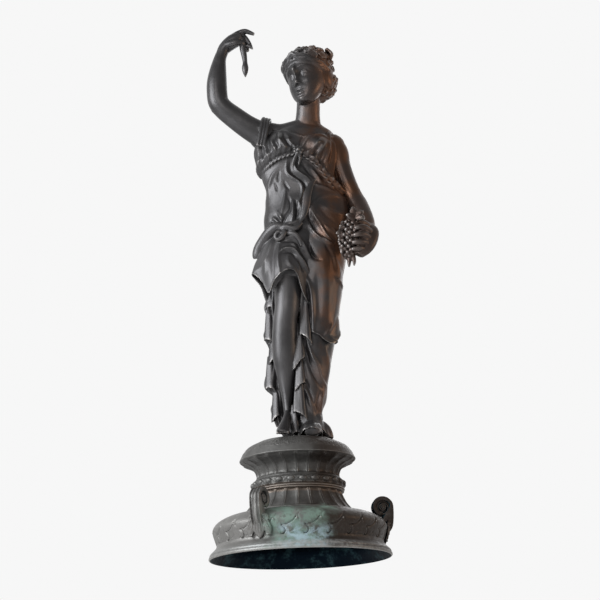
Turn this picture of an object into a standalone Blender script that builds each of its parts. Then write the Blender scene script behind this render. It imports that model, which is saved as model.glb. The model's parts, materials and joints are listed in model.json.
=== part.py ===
"""A cast bronze woman in a clinging gown, who lifts a stem in one hand and holds grapes in the other.

She stands on a hollow round socle with flutes, beads and three scroll brackets. Metres, +Z up, with
the origin on the socle's axis at its foot. The figure faces -Y.
"""

import math

import bmesh
import bpy
import numpy as np
from mathutils import Matrix, Vector

# Driving sizes, in metres.
FIGURE_HEIGHT = 0.645
SOCLE_HEIGHT = 0.158
RIM_RADIUS = 0.124
DOME_INSET = 0.006
WAIST_RADIUS = 0.059
NECK_RADIUS = 0.0565
DISC_RADIUS = 0.080
DOME_FOOT = 0.0185
CONE_FOOT = 0.0605
RING_HEIGHT = 0.0885
BELL_FOOT = 0.1065
DISC_HEIGHT = 0.1325
FLUTE_DEPTH = 0.0016
BEAD_HEIGHT = 0.0022
RING_LIP = 0.005
CLEAR_EDGE = 0.0012
WALL = 0.0045
SCROLL_RADIUS = 0.015
SCROLL_WIDTH = 0.015
SCROLL_RISE = 0.006
GAP = 0.0003

FLUTES = 24
SCROLLS = {"scroll_right": 4, "scroll_front": -116, "scroll_back": 124}

# The figure is drawn in parts of its own height: one part is a millimetre at the height above.
PART = FIGURE_HEIGHT / 645

# How finely the melted shapes are drawn: the size of their voxels, in metres, and their triangles.
FIGURE_VOXEL = 0.0014
FIGURE_TRIANGLES = 4900
SCROLL_VOXEL = 0.0008
SCROLL_TRIANGLES = 330


def curve(s, stations, values):
    """Smooth values at s, through the values given at rising stations."""
    stations = np.asarray(stations, float)
    values = np.asarray(values, float)
    slopes = np.gradient(values, stations, axis=0)
    i = np.clip(np.searchsorted(stations, s) - 1, 0, len(stations) - 2)
    span = stations[i + 1] - stations[i]
    t = np.clip((s - stations[i]) / span, 0.0, 1.0)
    if values.ndim == 2:
        span, t = span[:, None], t[:, None]
    a, b = values[i], values[i + 1]
    return (
        (2 * t**3 - 3 * t**2 + 1) * a
        + (t**3 - 2 * t**2 + t) * span * slopes[i]
        + (3 * t**2 - 2 * t**3) * b
        + (t**3 - t**2) * span * slopes[i + 1]
    )


def around(turn, table):
    """A smooth value at each turn in degrees, through a table of (turn, value) that closes on itself."""
    turns, values = zip(*table)
    turns = [turns[-1] - 360, *turns, turns[0] + 360]
    return curve(turn, turns, [values[-1], *values, values[0]])


def step(x, start, end):
    """0 before start, 1 after end and smooth between."""
    t = np.clip((x - start) / (end - start), 0.0, 1.0)
    return t * t * (3 - 2 * t)


def roll(x, z, path, height, width, ends=0.5):
    """Height of a rounded fold that runs along a path on the drawing, at the points x, z."""
    path = np.asarray(path, float)
    fine = np.linspace(0, len(path) - 1, 8 * len(path))
    line = curve(fine, range(len(path)), path) if len(path) > 2 else path
    near = np.full(x.shape, 1e9)
    along = np.zeros(x.shape)
    for k, (p, q) in enumerate(zip(line, line[1:])):
        d = q - p
        t = np.clip(((x - p[0]) * d[0] + (z - p[1]) * d[1]) / (d @ d), 0, 1)
        away = np.hypot(x - p[0] - t * d[0], z - p[1] - t * d[1])
        closer = away < near
        near[closer] = away[closer]
        along[closer] = ((k + t) / (len(line) - 1))[closer]
    fade = np.sin(np.pi * np.clip(along, 0.02, 0.98)) ** ends
    return height * fade * np.exp(-((near / (width * (0.4 + 0.6 * fade))) ** 2))


def rolls(x, z, folds):
    """The sum of several folds, each (height, width, path)."""
    total = np.zeros(x.shape)
    for height, width, *path in folds:
        total += roll(x, z, path, height, width)
    return total


def bump(x, z, at, height, width, tall=None):
    """A soft round swelling on the drawing."""
    tall = tall or width
    return height * np.exp(-(((x - at[0]) / width) ** 2) - ((z - at[1]) / tall) ** 2)


def sheet_tube(columns, rows, place):
    """A closed tube. place turns shares round and along it into points."""
    bm = bmesh.new()
    bmesh.ops.create_grid(bm, x_segments=columns, y_segments=rows, size=1.0)
    share = (np.array([v.co for v in bm.verts]) + 1) / 2
    for vert, point in zip(bm.verts, place(share[:, 0], share[:, 1])):
        vert.co = point
    bmesh.ops.remove_doubles(bm, verts=bm.verts, dist=1e-4)
    open_edges = [e for e in bm.edges if e.is_boundary]
    bmesh.ops.holes_fill(bm, edges=open_edges, sides=0)
    bmesh.ops.recalc_face_normals(bm, faces=bm.faces)
    return bm


def limb(stations, columns=28, rows=40, front=(0, -1, 0)):
    """A round limb through stations of (x, y, z, half width, half depth)."""
    table = np.array(stations, float)
    steps = np.arange(len(table))

    def place(u, v):
        s = v * (len(table) - 1)
        row = curve(s, steps, table)
        ahead = curve(np.clip(s + 0.02, 0, len(table) - 1), steps, table)
        behind = curve(np.clip(s - 0.02, 0, len(table) - 1), steps, table)
        way = ahead[:, :3] - behind[:, :3]
        way /= np.linalg.norm(way, axis=1)[:, None]
        side = np.cross(way, front)
        side /= np.linalg.norm(side, axis=1)[:, None]
        fore = np.cross(side, way)
        turn = (2 * np.pi * u)[:, None]
        return row[:, :3] + side * row[:, 3:4] * np.cos(turn) + fore * row[:, 4:5] * np.sin(turn)

    return sheet_tube(columns, rows, place)


def ball(centre, radii, detail=3):
    """An egg shape."""
    bm = bmesh.new()
    place = Matrix.Translation(centre) @ Matrix.Diagonal((*radii, 1.0))
    bmesh.ops.create_icosphere(bm, subdivisions=detail, radius=1.0, matrix=place)
    return bm


def drape(rings, low, high, relief, lip=0.0, hollow=14.0, columns=200, rows=130):
    """A body of cloth. rings hold (z, x, y, half width, front depth, back depth).

    low and high give its edges by turn, and relief how far it stands off. With a lip its foot is hollow."""
    table = np.array(sorted(rings), float)
    inner = 0.1 if lip else 0.0

    def place(u, v):
        turn = 360 * u - 180
        t = np.radians(turn)
        bottom, top = low(turn), high(turn)
        share = np.clip((v - inner) / (1 - inner), 0, 1)
        z = bottom + (top - bottom) * share
        inside = np.clip(1 - v / inner, 0, 1) if lip else 0 * v
        z = z + hollow * inside
        row = curve(z, table[:, 0], table[:, 1:])
        deep = np.where(np.cos(t) > 0, row[:, 3], row[:, 4])
        x = row[:, 0] + row[:, 2] * np.sin(t)
        y = row[:, 1] - deep * np.cos(t)
        nx, ny = deep * np.sin(t), -row[:, 2] * np.cos(t)
        size = np.hypot(nx, ny)
        off = relief(x, y, z, turn) - (lip * inside**0.3 if lip else 0)
        return np.stack([x + nx / size * off, y + ny / size * off, z], axis=1)

    return sheet_tube(columns, rows, place)


def pleats(turn, z, count, depth, lean=0.0, wave=0.0):
    """Upright pleats with round crowns and sharp valleys, that lean and wander with height."""
    phase = np.radians(turn) * count / 2 + lean * z / 60 + wave * np.sin(z / 23)
    return depth * (np.abs(np.sin(phase)) - 0.6)


# The edge of the bodice under the bust, and the neckline, by turn from the front.
GIRDLE = (
    (-135, 400), (-90, 403), (-58, 411), (-40, 417), (-28, 420), (-13, 423), (0, 423), (13, 416),
    (27, 406), (40, 392), (54, 380), (74, 370), (100, 368), (135, 378), (178, 392),
)
NECKLINE = (
    (-150, 465), (-95, 486), (-60, 471), (-39, 469), (-19, 466), (0, 459), (12, 454), (31, 458),
    (50, 458), (78, 459), (110, 464), (160, 458),
)

# Folds of the mantle over her left hip, each (height, width, path). They cross from one cloth to the next.
MANTLE_FOLDS = (
    (2.8, 2.2, (36, 377), (42, 375), (54, 372), (68, 365)),
    (2.2, 2.6, (34, 345), (47, 356), (61, 360), (74, 360)),
    (5.6, 2.4, (33, 344), (34, 328), (43, 311), (52, 293), (62, 284)),
    (-5.0, 3.2, (27, 336), (29, 318), (37, 301), (47, 286)),
    (6.0, 2.6, (27, 320), (32, 304), (41, 292), (50, 286), (60, 281)),
    (3.0, 2.6, (37, 333), (47, 316), (56, 304), (66, 297)),
    (-6.0, 3.4, (23, 302), (24, 279), (32, 262), (42, 256)),
    (-2.4, 3.0, (42, 340), (54, 326), (68, 316)), (1.8, 3.0, (48, 344), (62, 334), (78, 330)),
    (2.4, 3.4, (60, 310), (68, 290), (70, 262)), (-2.0, 3.0, (50, 280), (58, 262), (60, 240)),
)


def tunic():
    """Chest, bodice and the clinging cloth down to the hips."""
    rings = (
        (236, 22, 3, 44, 20, 24), (250, 20, 3, 50, 26, 31), (270, 20, 3, 57, 30, 35),
        (285, 21, 3, 61, 32, 36), (300, 23, 3, 62, 32.5, 35), (315, 25, 3, 62, 32, 33),
        (334, 26, 2, 63, 30, 29), (350, 26, 2, 60.5, 28, 26), (361, 25, 2, 59, 27, 25),
        (376, 21.5, 2, 54, 27, 24), (396, 15.5, 2, 53.5, 27, 25), (410, 14.5, 2, 54.5, 27, 26),
        (425, 13, 2, 58, 28, 27), (445, 13.5, 3, 60, 27, 29), (460, 16, 4, 56, 23, 28),
        (472, 20, 5, 47, 19, 25), (481, 24, 6, 32, 15, 21), (489, 28, 6, 20, 13, 16),
    )
    folds = (
        (2.6, 1.9, (-1, 418), (-2, 399), (4, 390), (15, 381), (20, 372), (19, 359), (14, 346), (10, 328)),
        (-3.0, 2.6, (4, 414), (4, 400), (11, 391), (22, 381), (26, 368), (25, 350), (18, 330)),
        (2.4, 2.0, (9, 412), (14, 398), (26, 388), (35, 378)),
        (-1.8, 2.0, (22, 408), (30, 396), (38, 386)), (-2.2, 1.6, (-12, 400), (-15, 390), (-14, 384)),
        (-2.0, 1.5, (-20, 384), (-18, 376), (-16, 370)), (1.8, 2.4, (-24, 396), (-29, 380), (-29, 366)),
        (-2.2, 1.6, (-7, 384), (-3, 376), (1, 370)),
        (2.6, 2.6, (-4, 372), (-6, 352), (-10, 332), (-13, 312)),
        (-2.8, 1.7, (0, 358), (3, 340), (-5, 325), (-12, 310)),
        (-3.4, 1.8, (10, 352), (12, 335), (10, 314)), (2.6, 2.0, (6, 352), (6, 334), (4, 312)),
        (2.6, 2.0, (15, 350), (18, 334), (15, 314)), (2.0, 1.6, (-24, 330), (-11, 313)),
        (-1.8, 1.3, (-20, 333), (-8, 315)), (2.0, 1.6, (-17, 338), (-7, 318)),
        (2.0, 1.6, (-28, 322), (-12, 308)), (-1.8, 1.3, (-27, 326), (-12, 311)),
        (2.0, 1.6, (-30, 313), (-14, 304)), (1.4, 2.2, (-12, 408), (-22, 396), (-27, 380)),
        (1.6, 2.0, (36, 400), (44, 388), (50, 376)), (-1.5, 1.7, (30, 402), (38, 390), (43, 379)),
    )
    gathers = (
        (3.4, 2.2, (2, 452), (6, 440), (14, 428)), (-3.0, 1.9, (-4, 462), (-1, 444), (9, 427)),
        (3.0, 2.0, (-11, 464), (-9, 446), (1, 426)), (-2.6, 1.6, (-14, 462), (-14, 442), (-6, 424)),
        (2.6, 1.8, (-20, 462), (-19, 440), (-11, 421)), (-2.2, 1.5, (-24, 460), (-25, 438), (-17, 418)),
        (2.6, 1.8, (-31, 466), (-30, 438), (-23, 415)), (-2.2, 1.5, (-34, 462), (-35, 436), (-29, 411)),
        (2.4, 1.8, (-38, 462), (-40, 436), (-35, 406)), (2.8, 1.9, (44, 444), (36, 430), (24, 421)),
        (-2.6, 1.7, (46, 438), (38, 424), (27, 416)), (2.8, 1.9, (52, 440), (44, 424), (33, 411)),
        (3.0, 2.0, (34, 452), (26, 442), (20, 430)), (-2.6, 1.7, (26, 456), (20, 444), (17, 430)),
        (-2.6, 1.7, (56, 444), (50, 424), (41, 402)), (2.8, 1.9, (60, 448), (57, 424), (48, 394)),
        (-2.6, 1.7, (63, 448), (62, 420), (54, 386)), (2.8, 1.9, (67, 450), (67, 420), (61, 380)),
        (-2.4, 1.7, (71, 448), (72, 420), (68, 376)), (2.0, 1.8, (40, 456), (52, 454), (64, 447)),
    )

    def relief(x, y, z, turn):
        front = step(-y, -4, 10)
        girdle, neck = around(turn, GIRDLE), around(turn, NECKLINE)
        bust = bump(x, z, (-9, 442), 13, 17, 16) + bump(x, z, (44, 439), 13, 17, 16)
        bodice = step(z, girdle - 2, girdle + 2) * (1 - step(z, neck - 2, neck + 1))
        blouse = 5.0 * np.exp(-(((z - girdle - 7) / 7) ** 2)) * bodice
        crinkle = np.abs(np.sin(x / 2.1 + 0.9 * np.sin(z / 5.0))) - 0.5
        crinkle *= 1.7 * np.exp(-(((z - girdle - 7) / 9) ** 2)) * bodice
        collar = 1.8 * np.exp(-(((z - neck + 1.5) / 1.9) ** 2))
        belly = bump(x, z, (8, 325), 5, 26, 32)
        off = bust * front + belly * front + 2.2 * bodice + blouse + collar + crinkle
        skirt = rolls(x, z, folds) + rolls(x, z, MANTLE_FOLDS)
        off += front * (skirt * (1 - bodice) + rolls(x, z, gathers) * bodice)
        off += (1 - front) * bodice * pleats(turn, z, 44, 2.2, 0.3)
        gown = pleats(turn, z, 26, 1.6, -0.5, 0.4) * (1 - bodice) * (1 - step(z, 440, 455))
        return off + (1 - front) * gown

    return drape(rings, lambda t: 236 + 0 * t, lambda t: 488 + 0 * t, relief, columns=240, rows=170)


def thigh_panel():
    """The mantle over the bent leg, lifted to the knot, with its hollow hem above the knee."""
    rings = (
        (195, -9, -14, 32, 38, 22), (225, -9, -13, 33, 38, 22), (245, -8, -11, 35, 38, 24),
        (270, -4, -6, 38, 37, 28), (292, 3, -1, 42, 36, 31), (306, 8, 1, 44, 32, 30),
        (316, 12, 1, 43, 27, 27),
    )
    hem = (
        (-175, 180), (-125, 205), (-100, 232), (-82, 243), (-62, 226), (-40, 206), (-26, 221),
        (-8, 232), (8, 237), (26, 232), (45, 205), (90, 190), (140, 180),
    )
    folds = (
        (4.6, 2.4, (-12, 288), (1, 290), (12, 287), (18, 275), (23, 262), (32, 256), (46, 252)),
        (-3.0, 2.4, (-8, 283), (8, 281), (15, 268), (22, 254)),
        (4.6, 2.4, (-14, 266), (-8, 271), (3, 270), (11, 258), (19, 244), (26, 224)),
        (-2.6, 2.4, (-10, 264), (2, 264), (9, 252), (16, 238)),
        (2.4, 2.8, (-14, 282), (-17, 255), (-15, 226)), (2.4, 2.8, (-22, 292), (-31, 265), (-36, 238)),
        (-2.0, 3.0, (-19, 286), (-25, 258), (-25, 222)), (1.8, 2.6, (-4, 262), (-3, 248), (5, 238)),
        (1.6, 2.4, (-28, 300), (-40, 272), (-47, 248)), (2.0, 2.0, (5, 262), (9, 250), (11, 237)),
        (1.4, 2.0, (-30, 262), (-42, 246)), (1.6, 1.8, (0, 282), (6, 276), (8, 268)),
    )

    def relief(x, y, z, turn):
        rim = 1.2 * np.exp(-(((z - around(turn, hem)) / 3) ** 2))
        corner = 11 * np.exp(-(((turn + 84) / 15) ** 2)) * step(290 - z, 10, 45)
        return rolls(x, z, folds) * step(-y, -6, 6) + rim + corner + 2.0

    return drape(rings, lambda t: around(t, hem), lambda t: 315 + 0 * t, relief, lip=4.0)


def standing_drape():
    """The mantle round the straight leg, down to its hem."""
    rings = (
        (138, 32, -2, 32, 27, 26), (154, 33, -3, 32, 27, 27), (190, 35, -3, 31, 29, 28),
        (220, 36, -2, 35, 31, 30), (240, 36.5, -2, 36, 32, 31), (262, 37, -1, 40, 33, 34),
        (280, 35, 0, 45, 33.5, 35), (296, 33, 1, 49, 32.5, 34), (310, 31, 1, 50, 29, 30),
    )
    hem = (
        (-170, 150), (-120, 160), (-70, 176), (-35, 168), (-14, 152), (5, 146), (20, 139), (36, 135),
        (52, 137), (66, 144), (85, 156), (120, 146), (160, 142),
    )
    folds = (
        (4.0, 2.8, (16, 244), (23, 227), (28, 206), (29, 180), (28, 145)),
        (-3.4, 2.6, (10, 236), (17, 215), (22, 190), (23, 155)),
        (-1.8, 5.0, (36, 236), (37, 205), (37, 170)),
        (1.4, 6.0, (44, 256), (50, 232), (50, 200), (48, 165)),
        (-1.4, 3.4, (60, 226), (60, 205), (58, 186)), (2.2, 3.4, (62, 262), (67, 240), (64, 214)),
        (2.2, 2.4, (62, 172), (52, 156), (42, 143)), (-2.2, 2.4, (66, 184), (60, 168), (52, 152)),
        (1.6, 3.4, (58, 232), (61, 205), (58, 180)), (2.6, 2.2, (60, 232), (68, 226), (72, 222)),
        (1.6, 2.2, (50, 146), (57, 142), (64, 150)),
    )

    def relief(x, y, z, turn):
        front = step(-y, -8, 6)
        rim = 1.5 * np.exp(-(((z - around(turn, hem)) / 2.8) ** 2))
        shape = rolls(x, z, folds) + rolls(x, z, MANTLE_FOLDS)
        return front * shape + (1 - front) * pleats(turn, z, 18, 4.0, 0.5, 0.3) + rim + 1.0

    return drape(rings, lambda t: around(t, hem), lambda t: 309 + 0 * t, relief, lip=3.5, hollow=8)


def under_gown():
    """The long gown that shows below the mantle, to the hem over the standing foot."""
    rings = (
        (6, 25, -7, 19, 25, 20), (20, 20, -8, 19, 22, 20), (35, 17, -6, 17, 18, 19),
        (57, 21, -4, 21, 19, 21), (86, 23, -4, 22.5, 20, 22), (117, 26, -3, 25.5, 22, 24),
        (154, 30, -2, 29, 25, 25), (200, 31, 0, 30, 27, 26),
    )
    hem = ((-170, 6), (-90, 9), (-50, 12), (-20, 19), (5, 22), (30, 17), (60, 9), (90, 5), (140, 5))
    folds = (
        (3.4, 2.4, (20, 138), (26, 116), (32, 101), (35, 88), (43, 77)),
        (-3.2, 2.6, (16, 130), (21, 106), (28, 88), (37, 72)),
        (3.2, 2.4, (9, 84), (13, 74), (19, 60), (24, 35)), (-2.6, 2.2, (15, 84), (20, 66), (28, 44)),
        (1.8, 3.0, (44, 130), (47, 108), (44, 84)), (2.6, 2.4, (40, 70), (34, 50), (32, 26)),
        (-2.0, 2.0, (34, 70), (30, 50), (28, 30)), (2.4, 2.2, (8, 60), (9, 42), (6, 24)),
        (2.0, 2.0, (24, 58), (28, 40), (36, 22)),
    )

    def relief(x, y, z, turn):
        front = step(-y, -6, 6)
        return front * rolls(x, z, folds) + (1 - front) * pleats(turn, z, 14, 3.6, -0.4, 0.4) + 0.6

    return drape(rings, lambda t: around(t, hem), lambda t: 200 + 0 * t, relief, lip=3.0, hollow=8)


def back_drape():
    """The cloth that falls behind the bent leg, with its edge in a cascade on her right."""
    rings = (
        (20, 2, 9, 26, 12, 17), (60, 0, 10, 30, 12, 19), (110, 0, 10, 31, 13, 21),
        (160, 0, 9, 34, 15, 24), (200, 0, 8, 36, 18, 27), (240, 4, 6, 42, 24, 31),
        (290, 12, 4, 48, 30, 36), (305, 14, 3, 48, 30, 34),
    )
    hem = ((-170, 12), (-120, 20), (-90, 26), (-60, 22), (-20, 40), (60, 30), (140, 8))
    edge = (
        (0, -31), (25, -28), (36, -31), (50, -34), (73, -32), (78, -38), (96, -41), (110, -36), (121, -33),
        (143, -35), (157, -41), (170, -37), (183, -35), (200, -39), (216, -34), (240, -37), (305, -34),
    )

    def relief(x, y, z, turn):
        wander = curve(z, *zip(*edge)) - curve(z, [0, 60, 160, 200, 305], [-24, -30, -34, -36, -34])
        side = np.exp(-(((turn + 88) / 24) ** 2)) + 0.5 * np.exp(-(((turn + 60) / 22) ** 2))
        cascade = -wander * side * step(250 - z, 0, 20)
        return pleats(turn, z, 22, 5.0, 0.4, 0.6) * step(-z, -300, -240) + cascade

    return drape(rings, lambda t: around(t, hem), lambda t: 304 + 0 * t, relief, lip=3.0, hollow=8)


def flap(x, y, low, slant, width, tall=44.0, deep=6.0):
    """One turn of a zigzag where an edge of cloth falls: a flat cup, open below, with a slanted hem."""
    rings = (
        (low - 14, x, y, width, deep, deep), (low + 4, x, y, 0.95 * width, deep, deep),
        (low + 0.5 * tall, x, y + 1, 0.72 * width, 0.75 * deep, 0.8 * deep),
        (low + tall, x, y + 2, 0.4 * width, 0.4 * deep, 0.4 * deep),
    )

    def hem(turn):
        t = np.radians(turn)
        return low + slant * np.sin(t) + 1.5 * np.cos(2 * t)

    def relief(x, y, z, turn):
        return 0.8 * np.sin(np.radians(3 * turn))

    return drape(rings, hem, lambda t: low + tall + 0 * t, relief, lip=1.8, hollow=7, columns=64, rows=50)


def cascades():
    """The zigzag edges of the mantle on both sides of the bare leg."""
    middle = (
        (17, 141, -8, 9.5, 74), (8, 107, 9, 9.5, 58), (8, 74, 5, 8, 44), (6, 33, -6, 10, 62),
        (-2, 7, 3, 7.5, 42),
    )
    side = (
        (-32, 196, -3, 6, 40), (-34, 147, -4, 7.5, 52), (-30, 118, 3, 6, 44), (-34, 77, -3, 8, 50),
        (-27, 36, 4, 7, 50),
    )
    made = [
        flap(x, -30 + 0.03 * (150 - low), low, slant, width, tall) for x, low, slant, width, tall in middle
    ]
    return made + [flap(x, 3, low, slant, width, tall, 8.0) for x, low, slant, width, tall in side]


def knot_and_roll():
    """The mantle's upper edge, rolled round the hip and tied in front, with its hanging end."""
    return [
        limb((
            (-2, -36, 300, 6, 5), (-16, -35, 308, 7.5, 6.5), (-28, -27, 303, 8.5, 8),
            (-38, -16, 293, 9, 8.5), (-44, -9, 284, 9.5, 9), (-46, -6, 276, 9.5, 9),
            (-45.5, -5, 272, 8, 8),
        )),
        limb((
            (-12, -37, 307, 2.5, 2.5), (-8, -41, 298, 4, 4), (-11, -43, 290, 4, 4),
            (-17, -42, 286, 3.4, 3.4), (-21, -41, 291, 3, 3), (-17, -42, 297, 3, 3),
            (-11, -42, 296, 2.4, 2.4),
        )),
        limb((
            (-14, -38, 303, 3, 3), (-6, -41, 305, 4.5, 4), (4, -42, 302, 4.5, 4), (11, -40, 305, 4, 4),
            (17, -37, 312, 3, 3),
        )),
        limb(((-10, -38, 311, 2, 2), (-2, -40, 310, 3, 3), (8, -40, 312, 3, 3), (15, -38, 318, 2, 2))),
        limb((
            (-6, -38, 296, 3, 3), (2, -41, 295, 4, 4), (9, -42, 291, 4, 4), (14, -41, 283, 3.2, 3.2),
            (15, -40, 276, 2, 2),
        )),
        limb((
            (40, -31, 381, 1.6, 1.6), (33, -34, 372, 4, 2.4), (27, -37, 356, 6, 3),
            (24, -39, 338, 6, 3.2), (20, -40, 322, 4.5, 3), (14, -38, 313, 2.5, 2.5),
        )),
    ]


def girdle_cord():
    """The twisted cord under the bust, with its rosette of ribbon between the breasts."""
    turns = np.arange(-180, 181, 3.0)
    levels = around(turns, GIRDLE) - 1
    made = []
    for start in (0.0, 0.5):
        twist = 2 * math.pi * (start + turns / 15)
        strand = [
            (
                17 + (54 + 1.1 * math.cos(w)) * math.sin(math.radians(t)),
                2 - (33 + 1.1 * math.cos(w)) * math.cos(math.radians(t)), z + 1.5 * math.sin(w), 1.5, 1.5,
            )
            for t, z, w in zip(turns, levels, twist)
        ]
        made.append(limb(strand, columns=8, rows=360, front=(0, 0, 1)))
    for k in range(7):
        t = 2 * math.pi * k / 7
        petal = (16 + 5 * math.cos(t), -37 + math.sin(t), 425 + 5 * math.sin(t))
        made.append(ball(petal, (3.3, 4, 3.3), 2))
    made.append(ball((16, -39.5, 425), (3.2, 4, 3.2), 2))
    made.append(limb(((15, -38, 421, 2.5, 3), (10, -35, 411, 3, 3.5), (7, -32, 403, 2, 3))))
    made.append(limb(((18, -38, 421, 2, 2.6), (18, -35, 412, 2.4, 3), (16, -32, 405, 1.4, 3))))
    return made


def shoulders_and_neck():
    """Neck, collar line and the straps of the gown."""
    strap = (
        (-43, -21, 442), (-40, -20, 456), (-37, -17, 474), (-35, -8, 490), (-33, 4, 496),
        (-34, 16, 489), (-35, 24, 466),
    )
    made = [
        limb((
            (26, 8, 466, 32, 18), (30, 8, 478, 25, 17), (32, 6, 488, 20, 16.5), (33, 3, 500, 18, 17),
            (34, 0, 515, 17.5, 17), (35, -1, 535, 17, 17), (36, 0, 552, 15, 15),
        )),
        limb(((-36, 4, 462, 16, 16), (-30, 4, 474, 15, 15), (-8, 6, 473, 14, 15), (20, 7, 480, 14, 15))),
        limb(((62, 6, 450, 15, 16), (58, 6, 460, 12, 14), (44, 7, 472, 11, 14), (30, 7, 482, 12, 14))),
        ball((-38, 3, 468), (19, 19, 21)),
        ball((67, 7, 448), (20, 19, 20)),
        limb((
            (60, -20, 440, 4, 2.6), (62, -15, 458, 3.6, 2.6), (64, -4, 470, 3.4, 2.6),
            (64, 6, 473, 3.4, 2.6), (62, 18, 466, 3.6, 2.6), (58, 26, 448, 4, 2.6),
        )),
    ]
    for shift, width in ((0.0, 2.6), (4.4, 2.0), (8.6, 2.4)):
        made.append(limb([(x + shift, y, z - 0.3 * shift, width, 2.4) for x, y, z in strap]))
    return made


def raised_arm():
    """Her right arm, lifted, with the hand bent over and a stem between the fingers."""
    return [
        limb((
            (-26, 4, 465, 18, 17), (-42, 1, 472, 19, 18), (-60, -4, 482, 17.5, 17),
            (-78, -9, 495, 16.5, 16), (-92, -13, 506, 15.5, 15.5), (-100, -15, 517, 15.5, 15.5),
            (-102, -16, 532, 15.5, 15.5), (-102, -16, 550, 15, 15), (-100, -16, 570, 12.5, 13),
            (-97, -16, 588, 9.5, 10.5), (-92, -16, 602, 8.5, 9.5),
        ), rows=70, front=(0.2, -1, 0)),
        ball((-101, -13, 508), (11, 11, 9)),
        limb((
            (-95, -16, 597, 8, 9.5), (-89, -16, 607, 9.5, 10.5), (-79, -16, 616, 10.5, 12.5),
            (-70, -16, 621, 10, 12), (-64, -16, 623, 7, 10),
        ), front=(0, -1, 0)),
        limb((
            (-76, -20, 624, 4.6, 4.6), (-67, -21, 629, 4.2, 4.2), (-58, -22, 631, 3.8, 3.8),
            (-50, -22, 628, 3.2, 3.2), (-44, -22, 625, 2.2, 2.2),
        )),
        limb((
            (-70, -18, 627, 4, 4), (-60, -18, 624, 3.8, 3.8), (-53, -18, 614, 3.2, 3.2),
            (-49, -18, 606, 2.2, 2.2),
        )),
        limb((
            (-70, -11, 625, 4, 4), (-61, -11, 620, 3.6, 3.6), (-56, -11, 610, 3.2, 3.2),
            (-55, -12, 602, 2.4, 2.4),
        )),
        limb((
            (-72, -5, 622, 3.6, 3.6), (-64, -5, 616, 3.2, 3.2), (-60, -6, 607, 2.8, 2.8),
            (-60, -8, 601, 2, 2),
        )),
        limb((
            (-86, -22, 608, 5.5, 5.5), (-76, -26, 609, 5.4, 5), (-67, -25, 610, 4.2, 4.2),
            (-60, -22, 610, 3, 3),
        )),
        limb((
            (-62, -20, 622, 3.4, 3.4), (-62, -20, 606, 5, 4.4), (-60, -20, 590, 4.2, 4),
            (-59, -20, 579, 3.6, 3.6), (-59, -20, 571, 5, 4.6), (-59, -20, 564, 4.2, 4),
            (-59, -20, 559, 2.4, 2.4), (-59, -20, 555, 1, 1),
        )),
        limb(((-56, -20, 608, 2.4, 2), (-50, -20, 605, 2.6, 2), (-47, -20, 601, 1, 1))),
    ]


def lowered_arm():
    """Her left arm, with the hand curled round the grapes at her hip."""
    fingers = (
        ((114, -36, 300, 5.4), (107, -45, 304, 5.2), (98, -52, 304, 4.8), (90, -55, 301, 3.4)),
        ((114, -45, 291, 5), (107, -54, 294, 4.8), (98, -59, 294, 4.4), (91, -60, 292, 3)),
        ((111, -49, 282, 4.8), (104, -58, 283, 4.6), (96, -62, 282, 4.2), (89, -61, 281, 3)),
        ((108, -51, 273, 4.6), (101, -58, 272, 4.4), (93, -61, 271, 4), (87, -60, 271, 2.8)),
        ((103, -51, 264, 4.2), (97, -57, 263, 4), (91, -58, 262, 3.4), (86, -58, 262, 2.4)),
    )
    made = [
        limb((
            (64, 6, 462, 12, 12), (73, 7, 440, 17.5, 18), (78, 8, 416, 15.8, 17),
            (86, 9, 390, 14.8, 16), (95, 8, 367, 14.3, 15.5), (102, 1, 350, 14.3, 15),
            (107, -9, 333, 13.3, 14), (111, -19, 317, 11.8, 12), (113, -27, 306, 10, 9.5),
            (114, -32, 299, 9, 9),
        ), rows=70),
        limb((
            (113, -30, 303, 9, 10), (114, -38, 292, 9.5, 13), (109, -44, 277, 9, 14),
            (102, -47, 266, 8, 13), (95, -49, 256, 4.5, 8),
        ), front=(1, -0.2, 0)),
        ball((102, -48, 284), (11, 12, 19)),
    ]
    for finger in fingers:
        made.append(limb([(x, y, z, thick, thick) for x, y, z, thick in finger]))
    return made


def grapes():
    """A tapering bunch of grapes with leaves."""
    made = []
    golden = math.pi * (3 - math.sqrt(5))
    count = 42
    for k in range(count):
        share = (k + 0.5) / count
        z = 308 - 56 * share
        wide = 13.5 * math.sin(math.pi * (0.18 + 0.76 * share)) ** 0.8
        t = golden * k
        x = 85 - 3 * share + wide * math.cos(t)
        made.append(ball((x, -47 + 0.9 * wide * math.sin(t), z), (3.9, 3.9, 4.1), 2))
    core = ((86, -47, 316, 4, 4), (86, -47, 292, 11, 10), (84, -47, 266, 8, 8), (83, -47, 250, 3, 3))
    made.append(limb(core))
    made.append(limb(((83, -48, 256, 3, 3), (82, -48, 247, 3, 3), (81.5, -48, 239, 1.4, 1.4))))
    made.append(limb(((88, -49, 256, 3, 3), (89, -50, 247, 2.8, 2.8), (88.5, -50, 240, 1.2, 1.2))))
    lobes = (
        ((94, -56, 308, 4), (91, -59, 317, 6), (90, -59, 325, 2)),
        ((95, -57, 309, 4), (100, -60, 315, 5), (105, -60, 317, 1.6)),
        ((95, -58, 307, 4), (101, -62, 308, 4.5), (106, -62, 305, 1.4)),
        ((92, -57, 306, 4), (85, -61, 311, 4.5), (80, -61, 313, 1.6)),
        ((80, -50, 290, 3), (72, -55, 289, 4.5), (65, -56, 287, 1.6)),
        ((78, -51, 286, 3), (72, -55, 281, 4), (68, -56, 276, 1.4)),
        ((80, -52, 296, 2.5), (74, -56, 297, 3.5), (70, -56, 298, 1.4)),
        ((76, -50, 268, 2.5), (73, -54, 263, 3.5), (71, -54, 257, 1.2)),
    )
    for lobe in lobes:
        made.append(limb([(x, y, z, wide, 2.2) for x, y, z, wide in lobe], columns=16, rows=14))
    return made


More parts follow.
